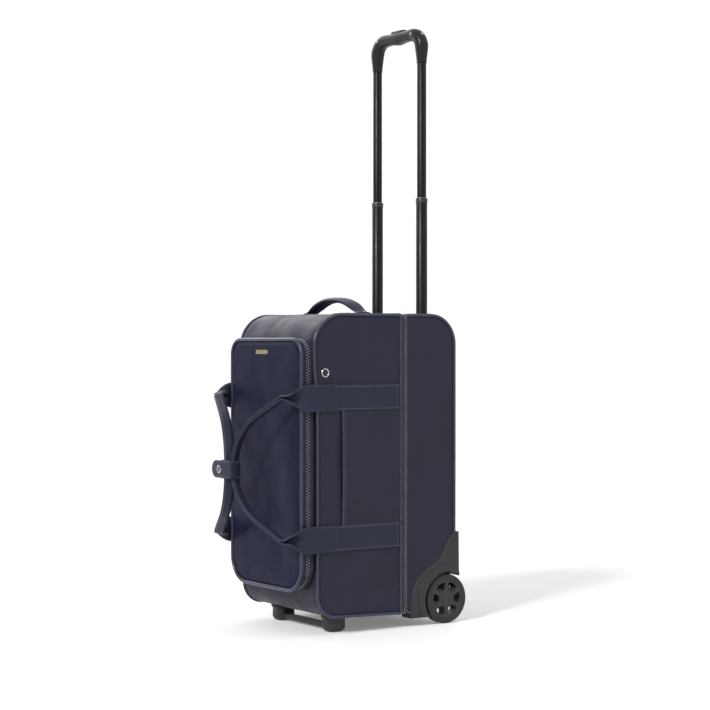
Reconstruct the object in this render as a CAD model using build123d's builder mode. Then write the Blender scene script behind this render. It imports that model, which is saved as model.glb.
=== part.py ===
"""Softside upright suitcase with a two-stage telescopic handle. Millimetres, +Z up.

The origin is the centre of the footprint on the ground. The case stands upright with its
front pocket towards -Y and its wheels and telescopic handle towards +Y.
"""
import os
from math import asin, atan2, cos, degrees, hypot, radians, sin

from build123d import *

os.makedirs("parts", exist_ok=True)

# Body of the case
HALF_WIDTH = 117.0
FRONT_Y = -100.0
BACK_Y = 183.0
TOP_Z = 528.0
BOTTOM_FRONT_Z = 30.0
BOTTOM_BACK_Z = 21.0
TOP_RADIUS = 50.0
BOTTOM_FRONT_RADIUS = 38.0
BOTTOM_BACK_RADIUS = 20.0
SIDE_EDGE_RADIUS = 5.0
WALL = 3.0
GUSSET_LIP = 4.0
PANEL_INSET = 7.0
PIPING_PROUD = 0.9
CLEAR = 0.2
ZIP_Y = 78.0
ZIP_SPLIT = 0.4
CHAIN_WIDTH = 3.4
CHAIN_PROUD = 1.0
HINGE_CHAIN_X = -104.0
HINGE_STRIP_HEIGHT = 440.0
HINGE_GAP = 2.0
EDGE_PIPING_Y = (65.8, 69.0)
EDGE_PIPING_PROUD = 1.8

# Front pocket
POCKET_HALF_WIDTH = 114.0
POCKET_FRONT_Y = -126.5
POCKET_BOTTOM_Z = 69.0
POCKET_TOP_Z = 490.0
POCKET_TOP_RADIUS = 26.0
POCKET_BOTTOM_RADIUS = 44.0
POCKET_ZIP_Y = -114.0
POCKET_PIPING = 3.5
PLATE_X = -12.0
PLATE_Z = 465.0
PLATE_WIDTH = 40.0
PLATE_HEIGHT = 7.0

# Side straps and haul handles
STRAP_THICKNESS = 2.6
STRAP_GAP = 1.2
UPPER_STRAP_Z = (368.0, 412.0)
LOWER_STRAP_Z = (138.0, 180.0)
HANDLE_MID_Z = 272.0
STRAP_BACK_Y = 65.0
STRAP_FREE_Y = -128.0
FOLD_POINT = (105.0, -157.0)
WRAP_POINT = (7.5, -192.7)
FOLD_Z = 393.0
HANDLE_WIDTH = 17.0
HANDLE_THICKNESS = 8.5
HANDLE_LOOP_RADIUS = 77.0
HANDLE_START = 6.0
STRAP_TIP = 9.0

# Snap wrap that holds the two haul handles together
WRAP_HEIGHT = 30.0
WRAP_BOX = (-23.0, 17.0, -203.2, -181.7)
WRAP_THICKNESS = 2.0
FLAP_LEFT_X = -43.0
SNAP_X = -19.0
SNAP_RADIUS = 7.0
SNAP_STUD_RADIUS = 3.0
FLAP_HINGE_X = 16.0

# Side details
POCKET_MOUTH_Y = -51.0
SIDE_POCKET_THICKNESS = 1.6
EYELET_Y = -80.0
EYELET_Z = 431.0
EYELET_RADIUS = 8.0
EYELET_BARREL = 5.4
EYELET_BORE = 4.5

# Top carry handle
CARRY_Y = 16.0
CARRY_LEG_X = 72.0
CARRY_TOP_Z = 558.0
CARRY_WIDTH = 28.0
CARRY_THICKNESS = 9.0
CARRY_TAB = (68.0, 86.0)
CARRY_TAB_THICKNESS = 4.0
CARRY_SHOULDER_X = 38.0
CARRY_BEND_RADIUS = 58.0

# Telescopic handle
TUBE_X = 66.0
TUBE_Y = 149.0
OUTER_TUBE_RADIUS = 10.8
OUTER_TUBE_BORE = 9.5
MIDDLE_TUBE_RADIUS = 9.15
MIDDLE_TUBE_BORE = 7.8
UPPER_TUBE_RADIUS = 7.5
UPPER_TUBE_BORE = 6.3
OUTER_TUBE_BASE_Z = 62.2
MIDDLE_BASE_Z = 425.0
MIDDLE_TOP_Z = 730.0
UPPER_BASE_Z = 655.0
LOCK_Z = 677.0
MIDDLE_HOLES = (LOCK_Z, 600.0)
LOCK_PIN_RADIUS = 2.5
RELEASE_ROD_RADIUS = 1.5
PIN_INNER = 4.2
PIN_END = 7.25
COLLAR_HEIGHT = 8.0
COLLAR_RADIUS = 10.2
BEZEL_HALF_WIDTH = 84.0
BEZEL_DEPTH = 30.0
BEZEL_THICKNESS = 2.6
BEZEL_COLLAR = 8.0
FRAME_HALF_WIDTH = 87.0
BACK_BOARD_MID_Z = 262.0
BACK_BOARD_HEIGHT = 400.0
BOARD_THICKNESS = 2.4
BRACKET_Z = (50.0, 68.0)
BRACKET_SOCKET = 6.0
COVER_Z = (70.0, 488.0)

# Grip
GRIP_LEG_Z = 963.0
GRIP_TOP_Z = 1025.0
GRIP_BAR_HEIGHT = 20.0
GRIP_CORNER_RADIUS = 24.0
GRIP_DEPTH = 23.0
BUTTON_LENGTH = 40.0
BUTTON_WIDTH = 12.0
BUTTON_PROUD = 3.0
BUTTON_TRAVEL = 3.0
GRIP_SOCKET_Z = 984.0
YOKE_Z = (1012.0, 1015.0)
YOKE_DEPTH = 5.0

# Wheels and their housings
WHEEL_Y = 165.0
WHEEL_RADIUS = 42.0
TYRE_BORE = 34.0
WHEEL_X = (97.0, 118.0)
AXLE_RADIUS = 4.0
AXLE_CLEARANCE = 0.05
WINDOW_COUNT = 6
WINDOW_CENTRE = 23.0
WINDOW_SIZE = (15.0, 17.0)
AXLE_BOSS = 11.0
AXLE_END_X = 112.0
WELL_RADIUS = 46.0
HOUSING_X = (90.0, 118.5)
HOUSING_CUT_X = (89.8, 120.0)
HOUSING_WALL = 3.0
HOUSING_SCREW_X = 104.0
HOUSING_SCREW_Z = (108.0, 140.0)
HOUSING_REAR_Y = 189.0
HOUSING_OUTLINE = [
    (90.0, 16.0),
    (91.0, 40.0),
    (98.0, 68.0),
    (112.0, 88.0),
    (133.0, 103.0),
    (149.0, 112.0),
    (158.0, 122.0),
    (169.0, 141.0),
    (182.0, 154.0),
    (189.0, 155.0),
    (189.0, 16.0),
]

# Front foot
FOOT_PAD_X = 78.0
FOOT_Y = -42.0
FOOT_PAD_WIDTH = 32.0
FOOT_PAD_DEPTH = 36.0
FOOT_HEIGHT = 27.2
FOOT_BAR_Z = 4.0
FOOT_BAR_HEIGHT = 8.0
FOOT_BAR_DEPTH = 18.0
FOOT_SCREW_RADIUS = 2.0
FOOT_SCREW_DEPTH = 12.0

# Zip sliders
MAIN_SLIDER_X = -58.0
SECOND_SLIDER_X = -76.0
POCKET_SLIDER_Z = 342.0
SLIDER_LENGTH = 12.0
SLIDER_WIDTH = 8.0
SLIDER_PLATE = 1.6
EAR_SPREAD = 3.0
PULL_PIN_Z = 3.0
PULL_PIN_RADIUS = 0.7
PULL_EYE_RADIUS = 1.3
PULL_WIDTH = 4.4
PULL_LENGTH = 24.0
PULL_THICKNESS = 1.4

SIDES = (("left", -1), ("right", 1))
FLOOR = (Align.CENTER, Align.CENTER, Align.MIN)


def write(piece, name):
    """Label a finished piece and write it as one STEP file."""
    piece.part.label = name
    export_step(piece.part, f"parts/{name}.step")
    print(name, round(piece.part.volume))


def body_block(inset, half_width, edge_radius=0.0):
    """The side-view outline of the case, set in by inset, run across its width."""
    with BuildPart() as block:
        with BuildSketch(Plane.YZ.offset(-half_width)) as outline:
            with BuildLine():
                Polyline(
                    (FRONT_Y, BOTTOM_FRONT_Z),
                    (BACK_Y, BOTTOM_BACK_Z),
                    (BACK_Y, TOP_Z),
                    (FRONT_Y, TOP_Z),
                    close=True,
                )
            make_face()
            corners = outline.vertices().sort_by(Axis.Y)
            top_corners = corners[2:]
            back_corner = corners[:2].sort_by(Axis.X)[1]
            front_corner = corners[:2].sort_by(Axis.X)[0]
            fillet(top_corners, TOP_RADIUS)
            fillet(front_corner, BOTTOM_FRONT_RADIUS)
            fillet(back_corner, BOTTOM_BACK_RADIUS)
            if inset:
                offset(amount=-inset, mode=Mode.REPLACE)
        extrude(amount=2 * half_width)
        if edge_radius:
            sides = block.faces().filter_by(Axis.X)
            fillet(sides.edges(), edge_radius)
    return block.part


def y_slab(low, high):
    """A slab across the whole case between two Y planes."""
    with BuildPart() as slab:
        with BuildSketch(Plane.XZ.offset(-low)):
            Rectangle(600, 1400)
        extrude(amount=low - high)
    return slab.part


def x_slab(low, high):
    """A slab across the whole case between two X planes."""
    with BuildPart() as slab:
        with BuildSketch(Plane.YZ.offset(low)):
            Rectangle(600, 1400)
        extrude(amount=high - low)
    return slab.part


def raised_band(proud, low, high):
    """A band that stands proud of the case all round it, between two Y planes."""
    with BuildPart() as band:
        add(body_block(-proud, HALF_WIDTH + proud, SIDE_EDGE_RADIUS + proud))
        add(body_block(0, HALF_WIDTH, SIDE_EDGE_RADIUS), mode=Mode.SUBTRACT)
        add(y_slab(low, high), mode=Mode.INTERSECT)
    return band.part


def housing_block(inset, x_range, sign):
    """The wheel housing's side-view outline, set in by inset, between two X planes."""
    with BuildPart() as block:
        with BuildSketch(Plane.YZ.offset(sign * x_range[0])):
            with BuildLine():
                Polyline(*HOUSING_OUTLINE, close=True)
            make_face()
            if inset:
                offset(amount=-inset, kind=Kind.INTERSECTION, mode=Mode.REPLACE)
        extrude(amount=sign * (x_range[1] - x_range[0]))
    return block.part


def wheel_well(radius, x_range, sign):
    """A round well about the wheel's centre between two X planes."""
    with BuildPart() as well:
        with BuildSketch(Plane.YZ.offset(sign * x_range[0])):
            with Locations((WHEEL_Y, WHEEL_RADIUS)):
                Circle(radius)
        extrude(amount=sign * (x_range[1] - x_range[0]))
    return well.part


def tube_holes(radius, low, high):
    """Two upright cylinders on the telescopic tubes' axes."""
    with BuildPart() as holes:
        with BuildSketch(Plane.XY.offset(low)):
            with Locations((-TUBE_X, TUBE_Y), (TUBE_X, TUBE_Y)):
                Circle(radius)
        extrude(amount=high - low)
    return holes.part


FRONT_SECTION = (FRONT_Y - 1, ZIP_Y - ZIP_SPLIT)
REAR_SECTION = (ZIP_Y + ZIP_SPLIT, BACK_Y + 1)
REAR_CHAIN_Y = ZIP_Y + ZIP_SPLIT + CHAIN_WIDTH
BEZEL_HOLE = OUTER_TUBE_RADIUS + 0.3
FOOT_SCREW_POINTS = [(sign * FOOT_PAD_X, FOOT_Y) for _, sign in SIDES]

# Fabric body: a gusset that wraps top, end and bottom, and a flat panel on each side
for section, span, piping_span in (
    ("front", FRONT_SECTION, (FRONT_Y - 1, EDGE_PIPING_Y[0] - CLEAR)),
    ("rear", REAR_SECTION, (REAR_CHAIN_Y + CLEAR, BACK_Y + 1)),
):
    with BuildPart() as gusset:
        add(body_block(0, HALF_WIDTH, SIDE_EDGE_RADIUS))
        add(body_block(WALL, HALF_WIDTH - WALL), mode=Mode.SUBTRACT)
        add(body_block(GUSSET_LIP, HALF_WIDTH + 1), mode=Mode.SUBTRACT)
        add(y_slab(*span), mode=Mode.INTERSECT)
        if section == "rear":
            add(tube_holes(BEZEL_HOLE, TOP_Z - 20, TOP_Z + 20), mode=Mode.SUBTRACT)
            for _, sign in SIDES:
                add(housing_block(-CLEAR, HOUSING_CUT_X, sign), mode=Mode.SUBTRACT)
        else:
            with Locations(*[(x, y, BOTTOM_FRONT_Z) for x, y in FOOT_SCREW_POINTS]):
                Cylinder(2.2, 12, mode=Mode.SUBTRACT)
    write(gusset, f"{section}_gusset")

    with BuildPart() as panels:
        add(body_block(PANEL_INSET, HALF_WIDTH))
        add(x_slab(WALL - HALF_WIDTH, HALF_WIDTH - WALL), mode=Mode.SUBTRACT)
        add(y_slab(*span), mode=Mode.INTERSECT)
        if section == "rear":
            for _, sign in SIDES:
                add(housing_block(-CLEAR, HOUSING_CUT_X, sign), mode=Mode.SUBTRACT)
        else:
            with Locations((0, EYELET_Y, EYELET_Z)):
                Cylinder(EYELET_BARREL + CLEAR, 300, rotation=(0, 90, 0), mode=Mode.SUBTRACT)
    write(panels, f"{section}_side_panels")

    with BuildPart() as piping:
        add(body_block(GUSSET_LIP + 0.1, HALF_WIDTH + PIPING_PROUD))
        add(body_block(PANEL_INSET - 0.1, HALF_WIDTH + PIPING_PROUD), mode=Mode.SUBTRACT)
        add(x_slab(WALL - HALF_WIDTH, HALF_WIDTH - WALL), mode=Mode.SUBTRACT)
        add(y_slab(*piping_span), mode=Mode.INTERSECT)
        if section == "rear":
            for _, sign in SIDES:
                add(housing_block(-CLEAR, HOUSING_CUT_X, sign), mode=Mode.SUBTRACT)
    write(piping, f"{section}_piping")

# Main zip: half of the chain on each section, on the top, the bottom and the right side
for section, low, high in (
    ("front", ZIP_Y - ZIP_SPLIT - CHAIN_WIDTH, ZIP_Y - ZIP_SPLIT),
    ("rear", ZIP_Y + ZIP_SPLIT, ZIP_Y + ZIP_SPLIT + CHAIN_WIDTH),
):
    with BuildPart() as chain:
        add(raised_band(CHAIN_PROUD, low, high))
        add(x_slab(HINGE_CHAIN_X, 300), mode=Mode.INTERSECT)
    write(chain, f"main_zip_chain_{section}")

with BuildPart() as zip_edge_piping:
    add(raised_band(EDGE_PIPING_PROUD, *EDGE_PIPING_Y))
write(zip_edge_piping, "zip_edge_piping")

# Fabric hinge on the left side, one sewn strip on each section
for section, low, high in (
    ("front", EDGE_PIPING_Y[1] + CLEAR, ZIP_Y - HINGE_GAP),
    ("rear", ZIP_Y + HINGE_GAP, HOUSING_OUTLINE[0][0] - 2),
):
    with BuildPart() as strip:
        with BuildSketch(Plane.YZ.offset(-HALF_WIDTH)):
            with Locations(((low + high) / 2, HANDLE_MID_Z)):
                Rectangle(high - low, HINGE_STRIP_HEIGHT)
        extrude(amount=-1.0)
    write(strip, f"hinge_strip_{section}")

# Front pocket: gusset ring, flat panel, piping round the panel and the zip chain
def pocket_face(inset):
    """The pocket's outline drawn in by inset, with tighter corners at the top."""
    with BuildSketch(mode=Mode.PRIVATE) as face:
        Rectangle(2 * (POCKET_HALF_WIDTH - inset), POCKET_TOP_Z - POCKET_BOTTOM_Z - 2 * inset)
        fillet(face.vertices().group_by(Axis.Y)[-1], POCKET_TOP_RADIUS - inset)
        fillet(face.vertices().group_by(Axis.Y)[0], POCKET_BOTTOM_RADIUS - inset)
    return face.sketch_local


def pocket_ring(outer_inset, inner_inset, low, high):
    """A rounded frame of the pocket's outline between two Y planes."""
    outer = pocket_face(outer_inset)
    centre = (0, low, (POCKET_TOP_Z + POCKET_BOTTOM_Z) / 2)
    with BuildPart() as ring:
        with BuildSketch(Plane(centre, x_dir=(1, 0, 0), z_dir=(0, -1, 0))):
            add(outer)
            if inner_inset is not None:
                add(pocket_face(inner_inset), mode=Mode.SUBTRACT)
        extrude(amount=low - high)
    return ring.part


with BuildPart() as pocket_gusset:
    add(pocket_ring(0, WALL, POCKET_FRONT_Y + WALL, FRONT_Y - CLEAR))
write(pocket_gusset, "pocket_gusset")

with BuildPart() as pocket_panel:
    add(pocket_ring(POCKET_PIPING, None, POCKET_FRONT_Y, POCKET_FRONT_Y + WALL - 0.1))
write(pocket_panel, "pocket_panel")

with BuildPart() as pocket_piping:
    add(pocket_ring(0, POCKET_PIPING - 0.1, POCKET_FRONT_Y - 1, POCKET_FRONT_Y + WALL - 0.1))
write(pocket_piping, "pocket_piping")

with BuildPart() as pocket_zip_chain:
    half_chain = CHAIN_WIDTH
    add(pocket_ring(-CHAIN_PROUD, -0.05, POCKET_ZIP_Y - half_chain, POCKET_ZIP_Y + half_chain))
write(pocket_zip_chain, "pocket_zip_chain")

with BuildPart() as name_plate:
    with BuildSketch(Plane.XZ.offset(-POCKET_FRONT_Y)):
        with Locations((PLATE_X, PLATE_Z)):
            RectangleRounded(PLATE_WIDTH, PLATE_HEIGHT, PLATE_HEIGHT / 2.2)
    extrude(amount=1.2)
write(name_plate, "name_plate")

# Side details: eyelets, slip pockets, the sewn straps and the haul handles
with BuildPart() as eyelets:
    for reach, radius in (
        ((HALF_WIDTH - WALL - 2, HALF_WIDTH + 0.2), EYELET_BARREL),
        ((HALF_WIDTH + 0.1, HALF_WIDTH + 1.3), EYELET_RADIUS),
    ):
        for _, sign in SIDES:
            with BuildSketch(Plane.YZ.offset(sign * reach[0])):
                with Locations((EYELET_Y, EYELET_Z)):
                    Circle(radius)
                    Circle(EYELET_BORE, mode=Mode.SUBTRACT)
            extrude(amount=sign * (reach[1] - reach[0]))
write(eyelets, "eyelets")

with BuildPart() as slip_pockets:
    low = LOWER_STRAP_Z[1] + 1
    high = UPPER_STRAP_Z[0] - 1
    for _, sign in SIDES:
        with BuildSketch(Plane.YZ.offset(sign * (HALF_WIDTH + 0.1))):
            with Locations(((POCKET_MOUTH_Y + STRAP_BACK_Y) / 2, (low + high) / 2)):
                Rectangle(STRAP_BACK_Y - POCKET_MOUTH_Y, high - low)
        extrude(amount=sign * SIDE_POCKET_THICKNESS)
write(slip_pockets, "slip_pockets")

# Side straps: sewn to the side panels behind the end seam, free and narrowing in front
inner = HALF_WIDTH + STRAP_GAP
outer = inner + STRAP_THICKNESS
fold_x, fold_y = FOLD_POINT
for level, span, fold_z in (
    ("upper", UPPER_STRAP_Z, FOLD_Z),
    ("lower", LOWER_STRAP_Z, 2 * HANDLE_MID_Z - FOLD_Z),
):
    with BuildPart() as straps:
        with BuildSketch(Plane.XY.offset(span[0])) as plan:
            with BuildLine():
                Polyline(
                    (inner, STRAP_BACK_Y),
                    (outer, STRAP_BACK_Y),
                    (outer, STRAP_FREE_Y),
                    (fold_x + 1.5, fold_y - 1),
                    (fold_x - 2.5, fold_y + 2),
                    (inner, STRAP_FREE_Y + 1),
                    close=True,
                )
            make_face()
            mirror(about=Plane.YZ)
        extrude(amount=span[1] - span[0])
        with BuildSketch(Plane.YZ.offset(-200)):
            with BuildLine():
                Polyline(
                    (STRAP_BACK_Y, span[0]),
                    (STRAP_BACK_Y, span[1]),
                    (STRAP_FREE_Y, span[1]),
                    (fold_y - 2, fold_z + STRAP_TIP),
                    (fold_y - 2, fold_z - STRAP_TIP),
                    (STRAP_FREE_Y, span[0]),
                    close=True,
                )
            make_face()
        extrude(amount=400, mode=Mode.INTERSECT)
    write(straps, f"side_straps_{level}")

for side, sign in SIDES:
    # Haul handle: a flat folded band whose loop lies in an upright plane from the fold
    # points to the snap wrap; u runs along that plane towards the wrap
    reach = hypot(FOLD_POINT[0] - WRAP_POINT[0], FOLD_POINT[1] - WRAP_POINT[1])
    u_dir = (
        sign * (WRAP_POINT[0] - FOLD_POINT[0]) / reach,
        (WRAP_POINT[1] - FOLD_POINT[1]) / reach,
        0,
    )
    loop_plane = Plane(
        origin=(sign * FOLD_POINT[0], FOLD_POINT[1], HANDLE_MID_Z),
        x_dir=u_dir,
        z_dir=Vector(*u_dir).cross(Vector(0, 0, 1)),
    )
    rise = FOLD_Z - HANDLE_MID_Z
    centre_u = reach - HANDLE_LOOP_RADIUS
    to_centre = hypot(centre_u, rise)
    tangent = (to_centre**2 - HANDLE_LOOP_RADIUS**2) ** 0.5
    slope = -atan2(rise, centre_u) + asin(HANDLE_LOOP_RADIUS / to_centre)
    start = (HANDLE_START * cos(slope), rise + HANDLE_START * sin(slope))
    bend = (tangent * cos(slope), rise + tangent * sin(slope))
    with BuildPart() as haul_handle:
        with BuildLine(loop_plane) as route:
            Line(start, bend)
            ThreePointArc(bend, (reach, 0), (bend[0], -bend[1]))
            Line((bend[0], -bend[1]), (start[0], -start[1]))
        with BuildSketch(Plane(route.line @ 0, z_dir=route.line % 0, x_dir=loop_plane.z_dir)):
            RectangleRounded(HANDLE_WIDTH, HANDLE_THICKNESS, HANDLE_THICKNESS / 2.3)
        sweep(path=route.line)
    write(haul_handle, f"haul_handle_{side}")

# Snap wrap: a closed leather loop round both haul handles, and a flap over its front
LEFT, RIGHT, FRONT, BACK = WRAP_BOX
with BuildPart() as handle_wrap:
    with BuildSketch(Plane.XY.offset(HANDLE_MID_Z - 1 - WRAP_HEIGHT / 2)):
        with Locations(((LEFT + RIGHT) / 2, (FRONT + BACK) / 2)):
            RectangleRounded(RIGHT - LEFT, BACK - FRONT, 5)
            inner_size = (RIGHT - LEFT - 2 * WRAP_THICKNESS, BACK - FRONT - 2 * WRAP_THICKNESS)
            RectangleRounded(*inner_size, 3, mode=Mode.SUBTRACT)
    extrude(amount=WRAP_HEIGHT)
    with Locations((SNAP_X, FRONT, HANDLE_MID_Z - 1)):
        Cylinder(SNAP_STUD_RADIUS + 0.1, 6, rotation=(90, 0, 0), mode=Mode.SUBTRACT)
write(handle_wrap, "handle_wrap")

FLAP_BACK_Y = FRONT - 0.3
with BuildPart() as wrap_flap:
    with BuildSketch(Plane.XZ.offset(-FLAP_BACK_Y)):
        with Locations(((FLAP_LEFT_X + FLAP_HINGE_X) / 2, HANDLE_MID_Z - 1)):
            Rectangle(FLAP_HINGE_X - FLAP_LEFT_X, WRAP_HEIGHT - 1)
    extrude(amount=WRAP_THICKNESS)
    free_end = wrap_flap.edges().filter_by(Axis.Y).group_by(Axis.X)[0]
    fillet(free_end, WRAP_HEIGHT / 2 - 1)
    with Locations((SNAP_X, FLAP_BACK_Y, HANDLE_MID_Z - 1)):
        Cylinder(SNAP_STUD_RADIUS + 0.6, 6, rotation=(90, 0, 0), mode=Mode.SUBTRACT)
write(wrap_flap, "wrap_flap")

with BuildPart() as snap_stud:
    with BuildSketch(Plane.XZ.offset(-FRONT - WRAP_THICKNESS - 0.6)):
        with Locations((SNAP_X, HANDLE_MID_Z - 1)):
            Circle(SNAP_STUD_RADIUS)
    extrude(amount=WRAP_THICKNESS + 1.8)
write(snap_stud, "snap_stud")

with BuildPart() as snap_cap:
    cap_back = FLAP_BACK_Y - WRAP_THICKNESS - 0.1
    with BuildSketch(Plane.XZ.offset(-cap_back)):
        with Locations((SNAP_X, HANDLE_MID_Z - 1)):
            Circle(SNAP_RADIUS)
    extrude(amount=1.4)
    fillet(snap_cap.faces().sort_by(Axis.Y)[0].edges(), 0.9)
write(snap_cap, "snap_cap")

# Top carry handle: a padded strap arched across the width, with a rivet at each end
with BuildPart() as carry_handle:
    base = TOP_Z + CARRY_THICKNESS / 2 + 0.4
    crown = CARRY_TOP_Z - CARRY_THICKNESS / 2
    with BuildLine(Plane.XZ.offset(-CARRY_Y)) as arch:
        FilletPolyline(
            (-CARRY_LEG_X, base),
            (-CARRY_SHOULDER_X, crown),
            (CARRY_SHOULDER_X, crown),
            (CARRY_LEG_X, base),
            radius=CARRY_BEND_RADIUS,
        )
    with BuildSketch(Plane(arch.line @ 0, z_dir=arch.line % 0, x_dir=(0, 1, 0))):
        RectangleRounded(CARRY_WIDTH, CARRY_THICKNESS, 3.5)
    sweep(path=arch.line)
    with Locations(*[(sign * sum(CARRY_TAB) / 2, CARRY_Y, TOP_Z + 0.4) for _, sign in SIDES]):
        Box(CARRY_TAB[1] - CARRY_TAB[0], CARRY_WIDTH, CARRY_TAB_THICKNESS, align=FLOOR)
write(carry_handle, "carry_handle")

with BuildPart() as carry_rivets:
    rivet_z = TOP_Z + 0.5 + CARRY_TAB_THICKNESS
    with Locations(*[(sign * (CARRY_TAB[1] - 5), CARRY_Y, rivet_z) for _, sign in SIDES]):
        Cylinder(2.6, 1.6, align=FLOOR)
write(carry_rivets, "carry_handle_rivets")

# Base board in the front section, and the moulded foot screwed to it through the gusset
board_bottom = BOTTOM_FRONT_Z + WALL + 0.6
with BuildPart() as base_board:
    with BuildSketch(Plane.XY.offset(board_bottom)):
        with Locations((0, (FRONT_Y + ZIP_Y) / 2 + 18)):
            RectangleRounded(2 * (HALF_WIDTH - 11), 118, 8)
        with Locations(*FOOT_SCREW_POINTS):
            Circle(FOOT_SCREW_RADIUS + 0.2, mode=Mode.SUBTRACT)
    extrude(amount=BOARD_THICKNESS)
write(base_board, "base_board")

with BuildPart() as front_foot:
    with BuildSketch():
        with Locations(*FOOT_SCREW_POINTS):
            RectangleRounded(FOOT_PAD_WIDTH, FOOT_PAD_DEPTH, 10)
    extrude(amount=FOOT_HEIGHT)
    fillet(front_foot.faces().sort_by(Axis.Z)[0].edges(), 6)
    with BuildSketch(Plane.XY.offset(FOOT_BAR_Z)):
        with Locations((0, FOOT_Y)):
            Rectangle(2 * FOOT_PAD_X, FOOT_BAR_DEPTH)
    extrude(amount=FOOT_BAR_HEIGHT)
    with Locations(*[(x, y, FOOT_HEIGHT) for x, y in FOOT_SCREW_POINTS]):
        Hole(FOOT_SCREW_RADIUS + 0.05, FOOT_SCREW_DEPTH)
write(front_foot, "front_foot")

with BuildPart() as foot_screws:
    head_z = board_bottom + BOARD_THICKNESS + 0.1
    with Locations(*[(x, y, head_z) for x, y in FOOT_SCREW_POINTS]):
        Cylinder(4, 2, align=FLOOR)
        shank = head_z - FOOT_HEIGHT + FOOT_SCREW_DEPTH - 1
        Cylinder(FOOT_SCREW_RADIUS, shank, align=(Align.CENTER, Align.CENTER, Align.MAX))
write(foot_screws, "foot_screws")

# Rear section frame: back board, tube bracket, tube cover and top bezel
with BuildPart() as back_board:
    with BuildSketch(Plane.XZ.offset(-(BACK_Y - WALL - 0.4))):
        with Locations((0, BACK_BOARD_MID_Z)):
            RectangleRounded(2 * FRAME_HALF_WIDTH, BACK_BOARD_HEIGHT, 12)
        with Locations(*[(sign * TUBE_X, BRACKET_Z[0] + 7) for _, sign in SIDES]):
            Circle(FOOT_SCREW_RADIUS + 0.2, mode=Mode.SUBTRACT)
    extrude(amount=BOARD_THICKNESS)
write(back_board, "back_board")

with BuildPart() as tube_bracket:
    board_front = BACK_Y - WALL - 0.4 - BOARD_THICKNESS
    depth = board_front - 0.2 - (TUBE_Y - 14)
    with BuildSketch(Plane.XY.offset(BRACKET_Z[0])):
        with Locations((0, board_front - 0.2 - depth / 2)):
            RectangleRounded(2 * FRAME_HALF_WIDTH - 4, depth, 3)
    extrude(amount=BRACKET_Z[1] - BRACKET_Z[0])
    with Locations(*[(sign * TUBE_X, TUBE_Y, BRACKET_Z[1]) for _, sign in SIDES]):
        Hole(OUTER_TUBE_RADIUS + 0.05, BRACKET_SOCKET)
    with Locations(*[(sign * TUBE_X, board_front, BRACKET_Z[0] + 7) for _, sign in SIDES]):
        Cylinder(FOOT_SCREW_RADIUS + 0.05, 26, rotation=(90, 0, 0), mode=Mode.SUBTRACT)
write(tube_bracket, "tube_bracket")

with BuildPart() as bracket_screws:
    screw_back = BACK_Y - WALL - 0.5
    with Locations(*[(sign * TUBE_X, screw_back, BRACKET_Z[0] + 7) for _, sign in SIDES]):
        Cylinder(FOOT_SCREW_RADIUS, 14, rotation=(90, 0, 0), align=FLOOR)
write(bracket_screws, "bracket_screws")

with BuildPart() as tube_cover:
    cover_front = TUBE_Y - OUTER_TUBE_RADIUS - 6
    with BuildSketch(Plane.XY.offset(COVER_Z[0])):
        with Locations((0, (cover_front + board_front - 0.3) / 2)):
            cover_depth = board_front - 0.3 - cover_front
            Rectangle(2 * FRAME_HALF_WIDTH, cover_depth)
            with Locations((0, 2)):
                Rectangle(2 * FRAME_HALF_WIDTH - 4, cover_depth, mode=Mode.SUBTRACT)
    extrude(amount=COVER_Z[1] - COVER_Z[0])
write(tube_cover, "tube_cover")

with BuildPart() as handle_bezel:
    with BuildSketch(Plane.XY.offset(TOP_Z + 0.1)):
        with Locations((0, TUBE_Y)):
            RectangleRounded(2 * BEZEL_HALF_WIDTH, BEZEL_DEPTH, BEZEL_DEPTH / 2 - 1)
    extrude(amount=BEZEL_THICKNESS)
    fillet(handle_bezel.faces().sort_by(Axis.Z)[-1].edges(), 1.5)
    with BuildSketch(Plane.XY.offset(TOP_Z + 0.1)):
        with Locations((-TUBE_X, TUBE_Y), (TUBE_X, TUBE_Y)):
            Circle(BEZEL_HOLE - 0.1)
    extrude(amount=-BEZEL_COLLAR)
    add(tube_holes(MIDDLE_TUBE_RADIUS + 0.3, TOP_Z - 20, TOP_Z + 10), mode=Mode.SUBTRACT)
write(handle_bezel, "handle_bezel")

# Telescopic handle: three pairs of tubes, collars, lock pins and the release linkage
TUBE_AXES = [(sign * TUBE_X, TUBE_Y) for _, sign in SIDES]
STAGES = (
    ("outer", OUTER_TUBE_RADIUS, OUTER_TUBE_BORE, OUTER_TUBE_BASE_Z, TOP_Z - BEZEL_COLLAR, ()),
    ("middle", MIDDLE_TUBE_RADIUS, MIDDLE_TUBE_BORE, MIDDLE_BASE_Z, MIDDLE_TOP_Z, MIDDLE_HOLES),
    ("upper", UPPER_TUBE_RADIUS, UPPER_TUBE_BORE, UPPER_BASE_Z, GRIP_SOCKET_Z, (LOCK_Z,)),
)
for stage, radius, bore, low, high, hole_heights in STAGES:
    with BuildPart() as tubes:
        with BuildSketch(Plane.XY.offset(low)):
            with Locations(*TUBE_AXES):
                Circle(radius)
                Circle(bore, mode=Mode.SUBTRACT)
        extrude(amount=high - low)
        for height in hole_heights:
            with BuildSketch(Plane.YZ.offset(-TUBE_X)):
                with Locations((TUBE_Y, height)):
                    Circle(LOCK_PIN_RADIUS + 0.15)
            extrude(amount=2 * TUBE_X, mode=Mode.SUBTRACT)
    write(tubes, f"{stage}_tubes")

with BuildPart() as collars:
    with BuildSketch(Plane.XY.offset(MIDDLE_TOP_Z - COLLAR_HEIGHT)):
        with Locations(*TUBE_AXES):
            Circle(COLLAR_RADIUS)
            Circle(MIDDLE_TUBE_RADIUS + 0.02, mode=Mode.SUBTRACT)
    extrude(amount=COLLAR_HEIGHT)
write(collars, "middle_collars")

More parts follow.
